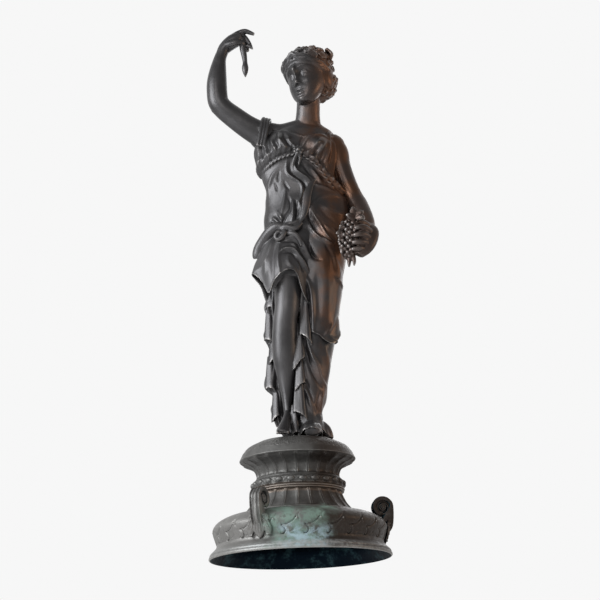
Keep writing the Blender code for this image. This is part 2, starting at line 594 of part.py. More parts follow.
def legs_and_feet():
    """The bare bent leg, both feet and the turned hem by the standing foot."""
    made = [
        limb((
            (-4, -8, 285, 26, 28), (-6, -14, 250, 24, 25), (-6, -24, 220, 20, 20),
            (-7, -29, 200, 18, 18.5), (-8, -31, 186, 17, 17.5), (-11, -28, 166, 17, 17.5),
            (-12, -22, 140, 18.5, 18.5), (-12, -18, 116, 17.5, 18), (-12, -15, 92, 13, 13.5),
            (-11.5, -14, 70, 9, 10), (-11.5, -14, 52, 6.4, 8.5), (-11.5, -15, 38, 5.4, 8),
            (-11.5, -15, 28, 5.6, 8), (-11, -12, 20, 5, 7),
        ), rows=80),
        limb((
            (-11.5, -16, 42, 4.6, 5), (-12.2, -23, 33, 5.4, 6), (-14.5, -32, 23, 6.6, 6),
            (-17, -41, 14, 8, 5), (-18.5, -48, 8, 8.8, 4.4), (-19, -54, 5, 8, 3.4),
        ), front=(0.1, -0.5, 1)),
        limb((
            (-11.5, -12, 32, 5, 6), (-11, -3, 24, 5.5, 6), (-11, -6, 15, 5, 6),
            (-12, -20, 9, 6, 5), (-15, -34, 5, 7, 4),
        )),
        limb((
            (22, -6, 18, 12, 12), (22, -26, 12, 12, 9), (22, -40, 8, 12, 7), (22, -48, 6, 10, 5),
        ), front=(0, 0, -1)),
        limb((
            (26, 4, 26, 8, 7), (34, -2, 24, 7, 7), (41, -8, 17, 6.5, 6.5), (45, -11, 10, 5, 5.5),
            (46, -12, 3, 5, 5),
        )),
        limb(((36, 12, 20, 6, 6), (44, 4, 10, 6, 6), (45, 0, 3, 5, 5))),
    ]
    for k in range(5):
        x = -25.5 + 3.4 * k
        tip = (x - 0.4, -58 + 1.2 * k, 3, 1.7, 1.8)
        toe = ((x + 1.2, -48, 6.5, 2.1, 2.6), (x, -54, 4.5, 2.1, 2.2), tip)
        made.append(limb(toe, columns=10, rows=10, front=(0, 0, -1)))
    rings = (
        (2, 20, -30, 16.5, 25, 16), (12, 20, -29, 15, 22, 16), (19, 20.5, -26, 12, 18, 15),
        (25, 21, -20, 7, 9, 12),
    )
    made.append(drape(
        rings, lambda t: 3 + 7 * np.cos(np.radians(t)) ** 2 * (np.abs(t) < 90), lambda t: 25 + 0 * t,
        lambda x, y, z, turn: 0.8 * np.sin(np.radians(7 * turn)), lip=2.5, hollow=9, columns=60, rows=30,
    ))
    return made


HEAD_CENTRE = Vector((36, -3, 556))
HEAD_TURN = (math.radians(10), math.radians(5), math.radians(-33))
HEAD_SIZE = 1.12
CURLS = 64
CURL_SIZE = 6.2
LEAVES = 11
SKULL = (
    (-40, 0, 3, -24, -17), (-38, 0, 8, -28.5, -12), (-34, 0, 13, -31, -5), (-28, 0, 18, -31.5, 2),
    (-21, 0, 22, -31.5, 12), (-12, 0, 25, -32, 24), (-2, 0, 26.5, -32, 33), (8, 0, 27.5, -33.5, 37),
    (18, 0, 27, -32, 37), (27, 0, 23, -26, 33), (34, 0, 16, -17, 25), (38, 0, 8, -7, 15),
    (39.5, 0, 2, -1, 8),
)


def face_relief(x, z):
    """How far the features of a calm, evenly proportioned face stand out at each point of its front."""
    off = roll(x, z, ((0, 11), (0, 2), (0, -12)), 5.5, 3.0, 0.4) + bump(x, z, (0, -11.5), 4.2, 3.6, 3.4)
    off += bump(x, z, (0, 7), 2.0, 5, 5) + bump(x, z, (0, -34), 2.2, 6, 5)
    off -= bump(x, z, (0, -28.4), 1.5, 5, 1.6)
    off += roll(x, z, ((-7, -22.6), (-2.6, -20.4), (0, -21.2), (2.6, -20.4), (7, -22.6)), 2.3, 1.6)
    off += roll(x, z, ((-5.8, -24.6), (0, -26), (5.8, -24.6)), 2.5, 1.9)
    off -= roll(x, z, ((-7.4, -22.9), (0, -23), (7.4, -22.9)), 1.7, 0.9)
    for side in (-1, 1):
        off += bump(x, z, (side * 3.6, -13.4), 1.9, 2.4, 2.0) + bump(x, z, (side * 14, -12), 1.4, 7, 7)
        off -= bump(x, z, (side * 10.5, 1.2), 4.6, 6.2, 4.6) + bump(x, z, (side * 5.0, 1.0), 1.6, 2.6, 4)
        off += bump(x, z, (side * 11, 0), 3.6, 4.2, 2.8)
        off += roll(x, z, ((side * 6, -0.6), (side * 10.5, 3.0), (side * 16.5, -0.4)), 1.2, 0.8)
        off += roll(x, z, ((side * 6.4, -1.4), (side * 11, -3.0), (side * 16, -1)), 0.7, 0.8)
        off -= roll(x, z, ((side * 6, 2.4), (side * 10.5, 5.0), (side * 17, 2.0)), 0.8, 0.8)
        off += roll(x, z, ((side * 3.6, 7.4), (side * 11, 10.4), (side * 20, 6.6)), 1.2, 2.6)
    return off


def head_shape():
    """Skull and face."""
    table = np.array(SKULL, float)

    def place(u, v):
        z = SKULL[0][0] + (SKULL[-1][0] - SKULL[0][0]) * v
        row = curve(z, table[:, 0], table[:, 1:])
        t = 2 * np.pi * u - np.pi
        middle, deep = (row[:, 3] + row[:, 2]) / 2, (row[:, 3] - row[:, 2]) / 2
        x = row[:, 1] * np.sin(t)
        y = middle - deep * np.cos(t)
        y = y - face_relief(x, z) * step(np.cos(t), 0.1, 0.55)
        return np.stack([x, y, z], axis=1)

    return [sheet_tube(150, 150, place)]


def curl(at, outward, size):
    """A small ring curl that lies on the head, turned in on itself."""
    at, outward = Vector(at), Vector(outward).normalized()
    side = Vector((0, 0, 1)).cross(outward).normalized()
    across = outward.cross(side)
    path = []
    for k in range(8):
        turn = math.radians(62 * k)
        reach = size * (0.80 - 0.085 * k)
        spot = at + reach * (math.cos(turn) * side + math.sin(turn) * across) + 0.09 * k * size * outward
        path.append((*spot, 0.40 * size, 0.40 * size))
    return limb(path, columns=8, rows=20, front=outward)


def hair_and_wreath():
    """Waves over the temples and ears, ring curls, a full nape, and a wreath of leaves and berries."""
    made = [ball((0, 7, 15), (31, 34, 30)), ball((0, 24, -6), (24, 18, 20))]
    for side in (-1, 1):
        made.append(ball((side * 23.5, 7, -2), (8.5, 14, 20)))
    golden = math.pi * (3 - math.sqrt(5))
    count = CURLS
    for k in range(count):
        height = 1 - 1.75 * (k + 0.5) / count
        t = golden * k
        flat = math.sqrt(1 - height * height)
        x, y = flat * math.sin(t), flat * math.cos(t)
        if (y < -0.15 and height < 0.45 and abs(x) < 0.8) or (y < 0.25 and height < -0.55):
            continue
        size = CURL_SIZE * (1 + 0.2 * math.sin(5.3 * k))
        at = (31 * x, 7 + 33.5 * y, 15 + (28 if height > 0 else 34) * height)
        made.append(curl(at, (x, y, height + 0.001), size))
    for k in range(count):
        height = 0.05 - 0.9 * k / count
        t = golden * k
        flat = math.sqrt(1 - height * height)
        x, y = flat * math.sin(t), flat * math.cos(t)
        if y < -0.3:
            continue
        at = (29.5 * x, 14 + 27 * y, -4 + 24 * height)
        made.append(curl(at, (x, y, height), CURL_SIZE * (1 + 0.2 * math.sin(4.7 * k))))
    for k in range(LEAVES):
        t = 2 * math.pi * (k + 0.3) / LEAVES
        x, y, z = 31 * math.sin(t), 6 - 33 * math.cos(t), 27 - 5 * math.cos(t)
        lean = 3 * math.sin(2.7 * k)
        leaf = (
            (x, y, z - 6, 3.5, 2.4), (1.04 * x + lean, 1.04 * y, z + 1, 6.4, 2.8),
            (0.88 * x + 2 * lean, 0.88 * y, z + 10, 2.4, 2),
        )
        made.append(limb(leaf, columns=12, rows=10, front=(math.sin(t), -math.cos(t), 0.6)))
        made.append(ball((x + 0.5 * lean, y, z + 8), (3.4, 3.4, 3.4), 2))
    for side in (-1, 1):
        for row in range(4):
            wave = []
            for k in range(10):
                t = math.radians(4 + 11.5 * k)
                wide = 1 + 0.03 * row
                level = 17.5 + 4.4 * row - (2.1 + 0.35 * row) * k + 1.2 * math.sin(1.9 * k + 1.6 * row)
                x, y = side * 27.5 * wide * math.sin(t), 3 - 34 * wide * math.cos(t)
                wave.append((x, y, level, 3.4, 3.2))
            made.append(limb(wave, columns=12, rows=60, front=(0, 0, 1)))
    return made


def head():
    """The head, turned to her right, bowed and leaning a little."""
    pitch, lean, turn = HEAD_TURN
    place = (
        Matrix.Translation(HEAD_CENTRE)
        @ Matrix.Rotation(turn, 4, "Z")
        @ Matrix.Rotation(-lean, 4, "Y")
        @ Matrix.Rotation(pitch, 4, "X")
        @ Matrix.Scale(HEAD_SIZE, 4)
    )
    made = head_shape() + hair_and_wreath()
    for bm in made:
        bmesh.ops.transform(bm, matrix=place, verts=bm.verts)
    return made


def levels(low, high, *shares):
    """Values between two limits, by shares."""
    return [low + (high - low) * share for share in shares]


def socle_profile():
    """Outer points (radius, height, whether the hollow follows), from the foot up to the flat top."""
    rim, waist, neck, disc = RIM_RADIUS, WAIST_RADIUS, NECK_RADIUS, DISC_RADIUS
    dome = rim - DOME_INSET
    foot = zip(
        (rim - 0.33 * DOME_INSET, rim, rim - 0.25 * DOME_INSET), levels(0, DOME_FOOT, 0, 0.08, 0.32),
        (True, False, True),
    )
    swell = zip(
        (dome - 0.83 * DOME_INSET, dome - 0.63 * DOME_INSET, dome, dome - 0.13 * DOME_INSET),
        levels(DOME_FOOT, CONE_FOOT, 0, 0.131, 0.417, 0.571), (True, False, True, True),
    )
    shoulder = zip(
        levels(dome, waist, 0.119, 0.322, 0.576, 0.720),
        levels(DOME_FOOT, CONE_FOOT, 0.738, 0.881, 0.964, 1), (True, True, True, False),
    )
    cone = zip(
        levels(dome, waist, 0.780, 0.907, 1), levels(CONE_FOOT, RING_HEIGHT, 0.152, 0.5, 0.913),
        (True, True, True),
    )
    rings = zip(
        levels(waist, waist + RING_LIP, 0.5, 0.4, 1, 0.86),
        levels(RING_HEIGHT, BELL_FOOT, 0, 0.25, 0.5, 0.75), (False, False, False, False),
    )
    bell = zip(
        levels(neck, disc, 0.04, 0, 0.128, 0.383, 0.723, 0.936),
        levels(BELL_FOOT, DISC_HEIGHT, 0, 0.25, 0.54, 0.73, 0.846, 1),
        (True, True, True, True, False, False),
    )
    top = zip(
        levels(0, disc, 1, 0.945, 0.86, 0.7), levels(DISC_HEIGHT, SOCLE_HEIGHT, 0.06, 0.41, 0.706, 1),
        (False, False, False, False),
    )
    return (*foot, *swell, *shoulder, *cone, *rings, *bell, *top)


def hollow_profile():
    """Points of the hollow in the socle: it follows the casting from the rim up, into the disc."""
    inside = offset([point[:2] for point in socle_profile() if point[2]], -WALL)
    return (
        (inside[0, 0], -WALL), *inside, (DISC_RADIUS - 3 * WALL, (DISC_HEIGHT + SOCLE_HEIGHT) / 2),
        (NECK_RADIUS - WALL, SOCLE_HEIGHT - WALL),
    )


def offset(points, distance):
    """The points of a profile moved outwards."""
    points = np.array(points, float)
    along = np.gradient(points, axis=0)
    along /= np.linalg.norm(along, axis=1)[:, None]
    return points + distance * np.stack([along[:, 1], -along[:, 0]], axis=1)


def ornament(turn, z):
    """How far flutes and beads stand off the turned shape: a column of points on each, and one beside."""
    wave = (1 - np.cos(FLUTES * turn)) / 2
    cone = (z > CONE_FOOT + CLEAR_EDGE) & (z < RING_HEIGHT - CLEAR_EDGE)
    bell = (z > BELL_FOOT + CLEAR_EDGE) & (z < DISC_HEIGHT - CLEAR_EDGE)
    beads = (z > (RING_HEIGHT + BELL_FOOT) / 2 - CLEAR_EDGE) & (z < BELL_FOOT - CLEAR_EDGE)
    return np.where(beads, BEAD_HEIGHT * wave, 0) - np.where(cone | bell, FLUTE_DEPTH * wave, 0)


def turned(points, columns, relief=None):
    """A turned solid from its profile, foot first."""
    points = np.array(points, float)

    def place(u, v):
        k = np.round(v * (len(points) - 1)).astype(int)
        turn = 2 * np.pi * u
        radius = points[k, 0] + (relief(turn, points[k, 1]) if relief else 0)
        return np.stack([radius * np.cos(turn), radius * np.sin(turn), points[k, 1]], axis=1)

    return sheet_tube(columns, len(points) - 1, place)


def scroll_shapes():
    """A bracket on the dome: a band that rises from a leaf and rolls up into a volute. It lies along +X."""
    side = RIM_RADIUS - DOME_INSET
    part = SCROLL_RADIUS / 15
    mid_x, mid_z = side - 4.7 * part, CONE_FOOT + SCROLL_RISE
    half = SCROLL_WIDTH / 2

    def up(share):
        """A level on the dome, by its share of the dome's height."""
        return DOME_FOOT + share * (CONE_FOOT - DOME_FOOT)

    stem = (
        (-3, 0.10, 2.5, 0.75), (-2.5, 0.3, 3.4, 0.85), (0.3, 0.5, 6.8, 0.95), (2.0, 0.7, 7.4, 1),
        (4.8, 0.9, 5.4, 1),
    )
    band = [(side + out * part, 0, up(share), deep * part, wide * half) for out, share, deep, wide in stem]
    turns = 18
    for k in range(1, turns):
        turn = math.radians(30 * k - 18)
        reach = (12.8 - 0.1 * k - 0.026 * k * k) * part
        band.append((mid_x + reach * math.cos(turn), 0, mid_z + reach * math.sin(turn), 2.2 * part, half))
    made = [limb(band, columns=20, rows=110, front=(0, 1, 0))]
    for radius, reach in ((0.82 * SCROLL_RADIUS, 0.66 * half), (0.33 * SCROLL_RADIUS, 1.15 * half)):
        pin = [(mid_x, y * reach, mid_z, radius, radius) for y in (-1, -0.5, 0.5, 1)]
        made.append(limb(pin, rows=6, front=(0, 0, 1)))
    lobes = (
        (0, ((3.5, 0, 0.50, 6.5), (0.5, 0, 0.30, 8.5), (-1.5, 0, 0.12, 7), (-4.5, 0, -0.03, 2.5))),
        (1, ((2.5, 4, 0.56, 4), (0.8, 9, 0.42, 5.5), (-1, 12.5, 0.22, 5.5), (-4, 13.5, 0.03, 3.5),
         (-5, 12, -0.05, 2))),
        (1, ((3.5, 4, 0.66, 3.5), (0.8, 11, 0.58, 3.2), (-0.3, 13.5, 0.47, 2.8))),
    )
    for spread, points in lobes:
        for y in (-spread, spread) if spread else (0,):
            line = [
                (side + out * part, y * across * part, up(share), wide * part, 2.6 * part)
                for out, across, share, wide in points
            ]
            made.append(limb(line, rows=18, front=(1, 0, 0)))
    return made


def joined(shapes, name, unit, lift):
    """One mesh object from several closed shapes, scaled to metres and lifted."""
    whole = bmesh.new()
    for bm in shapes:
        part = bpy.data.meshes.new("part")
        bm.to_mesh(part)
        whole.from_mesh(part)
        bm.free()
        bpy.data.meshes.remove(part)
    place = Matrix.Translation((0, 0, lift)) @ Matrix.Scale(unit, 4)
    bmesh.ops.transform(whole, matrix=place, verts=whole.verts)
    mesh = bpy.data.meshes.new(name)
    whole.to_mesh(mesh)
    whole.free()
    obj = bpy.data.objects.new(name, mesh)
    bpy.context.scene.collection.objects.link(obj)
    return obj


def figure_shapes():
    """Everything that the figure is made of, before it is melted together."""
    shapes = [tunic(), thigh_panel(), standing_drape(), under_gown(), back_drape()]
    shapes += knot_and_roll() + girdle_cord() + shoulders_and_neck()
    shapes += raised_arm() + lowered_arm() + grapes() + legs_and_feet() + head()
    return shapes + cascades()


def finish(name, color, metallic, roughness):
    """A plain material for one of the castings."""
    material = bpy.data.materials.new(name)
    material.use_nodes = True
    shader = material.node_tree.nodes["Principled BSDF"]
    shader.inputs["Base Color"].default_value = (*color, 1.0)
    shader.inputs["Metallic"].default_value = metallic
    shader.inputs["Roughness"].default_value = roughness
    return material


def dress(obj, material, sharp=50):
    """Give an object its material, and smooth shading up to an angle in degrees."""
    obj.data.materials.append(material)
    obj.data.shade_smooth()
    obj.data.set_sharp_from_angle(angle=math.radians(sharp))


def melt(obj, voxel, triangles):
    """Melt an object's shapes into one skin, and thin its triangles."""
    remesh = obj.modifiers.new("Melt", "REMESH")
    remesh.mode = "VOXEL"
    remesh.voxel_size = voxel
    graph = bpy.context.evaluated_depsgraph_get()
    quads = len(obj.evaluated_get(graph).data.polygons)
    thin = obj.modifiers.new("Thin", "DECIMATE")
    thin.ratio = triangles / (2 * quads)


def cut(obj, cutter):
    """Take a hidden cutter out of an object."""
    cutter.hide_render = True
    cutter.display_type = "WIRE"
    boolean = obj.modifiers.new("Cut", "BOOLEAN")
    boolean.operation = "DIFFERENCE"
    boolean.object = cutter


def socle(material):
    """The hollow foot: one casting, open below."""
    obj = joined([turned([point[:2] for point in socle_profile()], 2 * FLUTES, ornament)], "socle", 1, 0)
    cut(obj, joined([turned(hollow_profile(), FLUTES)], "hollow_of_socle", 1, 0))
    dress(obj, material, sharp=20)


def scroll(name, turn, material):
    """One of the three brackets, clear of the dome that it stands on."""
    obj = joined(scroll_shapes(), name, 1, 0)
    outside = offset([point[:2] for point in socle_profile()], GAP)
    cutter = joined([turned(outside, 2 * FLUTES)], "dome_behind_" + name, 1, 0)
    obj.data.transform(Matrix.Rotation(math.radians(turn), 4, "Z"))
    melt(obj, SCROLL_VOXEL, SCROLL_TRIANGLES)
    cut(obj, cutter)
    dress(obj, material)


def figure(material):
    """The woman with her stem and grapes: one casting, flat where she stands."""
    obj = joined(figure_shapes(), "figure", PART, SOCLE_HEIGHT + GAP)
    for vert in obj.data.vertices:
        vert.co.z = max(vert.co.z, SOCLE_HEIGHT + GAP)
    melt(obj, FIGURE_VOXEL, FIGURE_TRIANGLES)
    dress(obj, material)


def main():
    for obj in list(bpy.data.objects):
        bpy.data.objects.remove(obj)
    bronze = finish("Dark bronze", (0.075, 0.066, 0.062), 0.85, 0.38)
    weathered = finish("Weathered bronze", (0.16, 0.17, 0.15), 0.5, 0.6)
    socle(weathered)
    for name, turn in SCROLLS.items():
        scroll(name, turn, weathered)
    figure(bronze)


main()
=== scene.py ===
"""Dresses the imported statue: the fine bronze figure, its hollow fluted socle and scrolls, their patina,
the studio and the camera. Metres, +Z up, with the origin on the socle's axis at its foot."""

import json
import math

import bmesh
import bpy
import numpy as np
from bpy.props import FloatProperty, FloatVectorProperty, IntProperty, PointerProperty
from mathutils import Matrix, Vector

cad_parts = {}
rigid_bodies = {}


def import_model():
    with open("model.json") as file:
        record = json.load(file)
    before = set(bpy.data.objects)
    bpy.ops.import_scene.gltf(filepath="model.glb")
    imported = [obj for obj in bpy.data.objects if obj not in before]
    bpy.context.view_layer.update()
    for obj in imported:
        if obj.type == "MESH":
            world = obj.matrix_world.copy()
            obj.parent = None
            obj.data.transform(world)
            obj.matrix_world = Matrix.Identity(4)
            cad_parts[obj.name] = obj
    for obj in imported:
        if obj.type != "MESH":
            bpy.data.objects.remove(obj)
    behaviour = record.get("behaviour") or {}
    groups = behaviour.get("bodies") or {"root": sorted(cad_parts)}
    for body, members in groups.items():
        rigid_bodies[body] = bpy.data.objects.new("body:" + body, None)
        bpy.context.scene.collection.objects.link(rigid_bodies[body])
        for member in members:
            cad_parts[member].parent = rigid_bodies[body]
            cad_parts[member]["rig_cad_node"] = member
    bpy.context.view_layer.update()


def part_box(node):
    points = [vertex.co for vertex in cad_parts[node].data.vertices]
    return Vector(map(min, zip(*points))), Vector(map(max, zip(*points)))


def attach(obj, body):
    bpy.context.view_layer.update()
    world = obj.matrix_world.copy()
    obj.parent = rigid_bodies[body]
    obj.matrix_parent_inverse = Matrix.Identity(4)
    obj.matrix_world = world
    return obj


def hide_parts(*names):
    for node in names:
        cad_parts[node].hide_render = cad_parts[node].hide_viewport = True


bl_info = {
    "name": "Bronze Woman with Grapes",
    "version": (1, 0, 0),
    "blender": (4, 5, 0),
    "location": "3D View > Sidebar > Statue",
    "description": "The fine surfaces, patina and studio of a cast bronze figure on a fluted socle",
    "category": "Object",
}

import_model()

# The frame gives the plane that the woman stands on, the foot's width and the scrolls' turns.
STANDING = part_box("socle")[1].z
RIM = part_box("socle")[1].x
GAP = 0.0003

# The figure is drawn in millimetres above the socle, facing -Y.
MM = 0.001
GRAPES = 96
GOLDEN = math.pi * (3 - math.sqrt(5))

# The levels where the socle's mouldings begin, and its wall. The others are radii: of the dome's side, of
# the foot of the cone, and of the neck below the bell.
DOME, CONE, RING, BELL, DISC = (share * STANDING for share in (0.1171, 0.3829, 0.5601, 0.6741, 0.8386))
BEADS = (RING + 0.0062, BELL - 0.0026)
WALL = 0.0045
SIDE = RIM - 0.006
BASE = 0.0755
NECK = 0.0565

# Fineness of the socle's shells, as the gap between rows and the columns in a flute, and of the scrolls.
DOME_GAP, DOME_COLUMNS = 0.00095, 36
BELL_GAP, BELL_COLUMNS = 0.0006, 26
SCROLL_VOXEL, SCROLL_TRIANGLES = 0.0004, 60000

# Where the first flute's middle and the first scale's peak lie round the socle, in repeats from +X.
FLUTE_START = 0.4
SCALE_START = 0.9


class FigureSettings(bpy.types.PropertyGroup):
    """Sizes of the woman's fine surface."""

    voxel: FloatProperty(
        name="Voxel", description="Fineness at which her shapes are melted together",
        default=0.0008, min=0.0005, max=0.003, unit="LENGTH", precision=4,
    )
    triangles: IntProperty(
        name="Triangles", description="Triangles left in her surface", default=196000, min=5000, max=199000,
    )
    curls: IntProperty(
        name="Curls", description="Curls of hair on the crown, and again on the nape", default=92, min=20,
        max=200,
    )
    curl_size: FloatProperty(
        name="Curl size", description="Outer radius of a curl on the drawing, in millimetres",
        default=5.6, min=2, max=8,
    )


class SocleSettings(bpy.types.PropertyGroup):
    """Sizes of the socle's ornament."""

    flutes: IntProperty(
        name="Flutes", description="Flutes, beads and scales round the socle", default=24, min=8, max=48,
    )
    flute_depth: FloatProperty(
        name="Flute depth", description="Depth of a flute at its middle", default=0.0018, unit="LENGTH",
        precision=4,
    )
    ridge: FloatProperty(
        name="Ridge", description="Height of the double ridges between flutes", default=0.0009,
        unit="LENGTH", precision=4,
    )
    bead: FloatProperty(
        name="Bead", description="Height of a bead", default=0.0030, unit="LENGTH", precision=4,
    )
    cut: FloatProperty(
        name="Cut", description="Depth of the scale lines on the dome", default=0.0017, unit="LENGTH",
        precision=4,
    )


class PatinaSettings(bpy.types.PropertyGroup):
    """Colours of the bronze, of what has grown on it, and of its painted highlights, warm light and shade."""

    bronze: FloatVectorProperty(
        name="Bronze", description="Dark skin of the figure", subtype="COLOR", default=(0.082, 0.079, 0.081),
    )
    # Painted highlight and wear: this crest colour lightens both bronze polished by hands and the folds'
    # highlights from the key light.
    wear_and_highlight: FloatVectorProperty(
        name="Bronze of wear and painted highlight", description="Crests lightened by the wear of hands and as painted highlight", subtype="COLOR",
        default=(0.34, 0.32, 0.31),
    )
    # Brown patina and painted warm light on her left side; a darker copy of it is painted shade there.
    warm: FloatVectorProperty(
        name="Warm bronze", description="Brown patina and painted warm light on her left side", subtype="COLOR",
        default=(0.130, 0.062, 0.034),
    )
    weathered: FloatVectorProperty(
        name="Weathered bronze", description="Grey skin of the socle", subtype="COLOR",
        default=(0.150, 0.146, 0.140),
    )
    # Brown patina of the socle's right side, made dark enough to be painted shade as well.
    umber: FloatVectorProperty(
        name="Umber", description="Dark brown side of the socle", subtype="COLOR",
        default=(0.032, 0.023, 0.018),
    )
    verdigris: FloatVectorProperty(
        name="Verdigris", description="Green growth on the dome", subtype="COLOR",
        default=(0.140, 0.212, 0.176),
    )
    bloom: FloatVectorProperty(
        name="Bloom", description="Pale blue growth near the rim", subtype="COLOR",
        default=(0.300, 0.400, 0.450),
    )
    copper: FloatVectorProperty(
        name="Copper", description="Rubbed copper tone of the double ring", subtype="COLOR",
        default=(0.260, 0.190, 0.145),
    )
    roughness: FloatProperty(
        name="Roughness", description="Mean roughness of the dark bronze", default=0.38, min=0.05, max=1,
        subtype="FACTOR",
    )


class StageSettings(bpy.types.PropertyGroup):
    """The studio round the statue."""

    floor_drop: FloatProperty(
        name="Floor drop", description="How far the pale floor lies below the socle, out of the camera's way",
        default=0.55, unit="LENGTH",
    )
    key: FloatProperty(
        name="Key light", description="Power of the large light", default=66.0, subtype="POWER",
    )
    fill: FloatProperty(
        name="Warm light", description="Power of the warm side light", default=4.5, subtype="POWER",
    )
    sky: FloatProperty(
        name="Sky", description="Strength of the surroundings behind the statue", default=0.93,
    )
    dim: FloatProperty(
        name="Dim side", description="Strength of the surroundings in front of it", default=0.30,
    )
    distance: FloatProperty(
        name="Distance", description="From the camera to the statue's axis", default=1.8, unit="LENGTH",
    )
    camera_height: FloatProperty(
        name="Camera height", description="Height of the camera, which looks up from below the socle",
        default=-0.2115, unit="LENGTH",
    )
    pitch: FloatProperty(
        name="Pitch", description="How far the camera looks up", default=math.radians(17.8), subtype="ANGLE",
    )
    pan: FloatProperty(
        name="Pan", description="How far the camera looks to the left of the axis",
        default=math.radians(-0.356), subtype="ANGLE",
    )
    roll: FloatProperty(
        name="Roll", description="How far the camera leans", default=math.radians(-2.0), subtype="ANGLE",
    )
    lens: FloatProperty(
        name="Lens", description="Focal length", default=79.2, subtype="DISTANCE_CAMERA", unit="CAMERA",
    )


def curve(s, stations, values):
    """Smooth values at s, through the values given at rising stations."""
    stations = np.asarray(stations, float)
    values = np.asarray(values, float)
    slopes = np.gradient(values, stations, axis=0)
    i = np.clip(np.searchsorted(stations, s) - 1, 0, len(stations) - 2)
    span = stations[i + 1] - stations[i]
    t = np.clip((s - stations[i]) / span, 0.0, 1.0)
    if values.ndim == 2:
        span, t = span[:, None], t[:, None]
    a, b = values[i], values[i + 1]
    return (
        (2 * t**3 - 3 * t**2 + 1) * a
        + (t**3 - 2 * t**2 + t) * span * slopes[i]
        + (3 * t**2 - 2 * t**3) * b
        + (t**3 - t**2) * span * slopes[i + 1]
    )


def around(turn, table):
    """A smooth value at each turn in degrees, through a table of (turn, value) that closes on itself."""
    turns, values = zip(*table)
    turns = [turns[-1] - 360, *turns, turns[0] + 360]
    return curve(turn, turns, [values[-1], *values, values[0]])


def step(x, start, end):
    """0 before start, 1 after end and smooth between."""
    t = np.clip((x - start) / (end - start), 0.0, 1.0)
    return t * t * (3 - 2 * t)


def roll(x, z, path, height, width, ends=0.5):
    """Height of a rounded fold that runs along a path on the drawing, at the points x, z."""
    path = np.asarray(path, float)
    fine = np.linspace(0, len(path) - 1, 8 * len(path))
    line = curve(fine, range(len(path)), path) if len(path) > 2 else path
    near = np.full(x.shape, 1e9)
    along = np.zeros(x.shape)
    for k, (p, q) in enumerate(zip(line, line[1:])):
        d = q - p
        t = np.clip(((x - p[0]) * d[0] + (z - p[1]) * d[1]) / (d @ d), 0, 1)
        away = np.hypot(x - p[0] - t * d[0], z - p[1] - t * d[1])
        closer = away < near
        near[closer] = away[closer]
        along[closer] = ((k + t) / (len(line) - 1))[closer]
    fade = np.sin(np.pi * np.clip(along, 0.02, 0.98)) ** ends
    return height * fade * np.exp(-((near / (width * (0.4 + 0.6 * fade))) ** 2))


def rolls(x, z, folds):
    """The sum of several folds, each (height, width, path)."""
    total = np.zeros(x.shape)
    for height, width, *path in folds:
        total += roll(x, z, path, height, width)
    return total


def bump(x, z, at, height, width, tall=None):
    """A soft round swelling on the drawing."""
    tall = tall or width
    return height * np.exp(-(((x - at[0]) / width) ** 2) - ((z - at[1]) / tall) ** 2)


def sheet_tube(columns, rows, place):
    """A closed tube. place turns shares round and along it into points."""
    bm = bmesh.new()
    bmesh.ops.create_grid(bm, x_segments=columns, y_segments=rows, size=1.0)
    share = (np.array([v.co for v in bm.verts]) + 1) / 2
    for vert, point in zip(bm.verts, place(share[:, 0], share[:, 1])):
        vert.co = point
    bmesh.ops.remove_doubles(bm, verts=bm.verts, dist=1e-4)
    open_edges = [e for e in bm.edges if e.is_boundary]
    bmesh.ops.holes_fill(bm, edges=open_edges, sides=0)
    bmesh.ops.recalc_face_normals(bm, faces=bm.faces)
    return bm


def limb(stations, columns=28, rows=40, front=(0, -1, 0)):
    """A round limb through stations of (x, y, z, half width, half depth). The depth may be left out."""
    table = np.array([(*s, s[3])[:5] for s in stations], float)
    steps = np.arange(len(table))

    def place(u, v):
        s = v * (len(table) - 1)
        row = curve(s, steps, table)
        ahead = curve(np.clip(s + 0.02, 0, len(table) - 1), steps, table)
        behind = curve(np.clip(s - 0.02, 0, len(table) - 1), steps, table)
        way = ahead[:, :3] - behind[:, :3]
        way /= np.linalg.norm(way, axis=1)[:, None]
        side = np.cross(way, front)
        side /= np.linalg.norm(side, axis=1)[:, None]
        fore = np.cross(side, way)
        turn = (2 * np.pi * u)[:, None]
        return row[:, :3] + side * row[:, 3:4] * np.cos(turn) + fore * row[:, 4:5] * np.sin(turn)

    return sheet_tube(columns, rows, place)


def ball(centre, radii, detail=3):
    """An egg shape."""
    bm = bmesh.new()
    place = Matrix.Translation(centre) @ Matrix.Diagonal((*radii, 1.0))
    bmesh.ops.create_icosphere(bm, subdivisions=detail, radius=1.0, matrix=place)
    return bm


def drape(rings, low, high, relief, lip=0.0, hollow=14.0, columns=200, rows=130):
    """A body of cloth. rings hold (z, x, y, half width, front depth, back depth).

    It ends level at high, and at low by turn, a table or a function. relief says how far it stands off.
    With a lip its foot is hollow."""
    table = np.array(sorted(rings), float)
    inner = 0.1 if lip else 0.0

    def place(u, v):
        turn = 360 * u - 180
        t = np.radians(turn)
        bottom = around(turn, low) if isinstance(low, tuple) else low(turn)
        share = np.clip((v - inner) / (1 - inner), 0, 1)
        z = bottom + (high - bottom) * share
        inside = np.clip(1 - v / inner, 0, 1) if lip else 0 * v
        z = z + hollow * inside
        row = curve(z, table[:, 0], table[:, 1:])
        deep = np.where(np.cos(t) > 0, row[:, 3], row[:, 4])
        x = row[:, 0] + row[:, 2] * np.sin(t)
        y = row[:, 1] - deep * np.cos(t)
        nx, ny = deep * np.sin(t), -row[:, 2] * np.cos(t)
        size = np.hypot(nx, ny)
        off = relief(x, y, z, turn) - (lip * inside**0.3 if lip else 0)
        return np.stack([x + nx / size * off, y + ny / size * off, z], axis=1)

    return sheet_tube(columns, rows, place)


def pleats(turn, z, count, depth, lean=0.0, wave=0.0):
    """Upright pleats with round crowns and sharp valleys, that lean and wander with height."""
    phase = np.radians(turn) * count / 2 + lean * z / 60 + wave * np.sin(z / 23)
    return depth * (np.abs(np.sin(phase)) - 0.6)


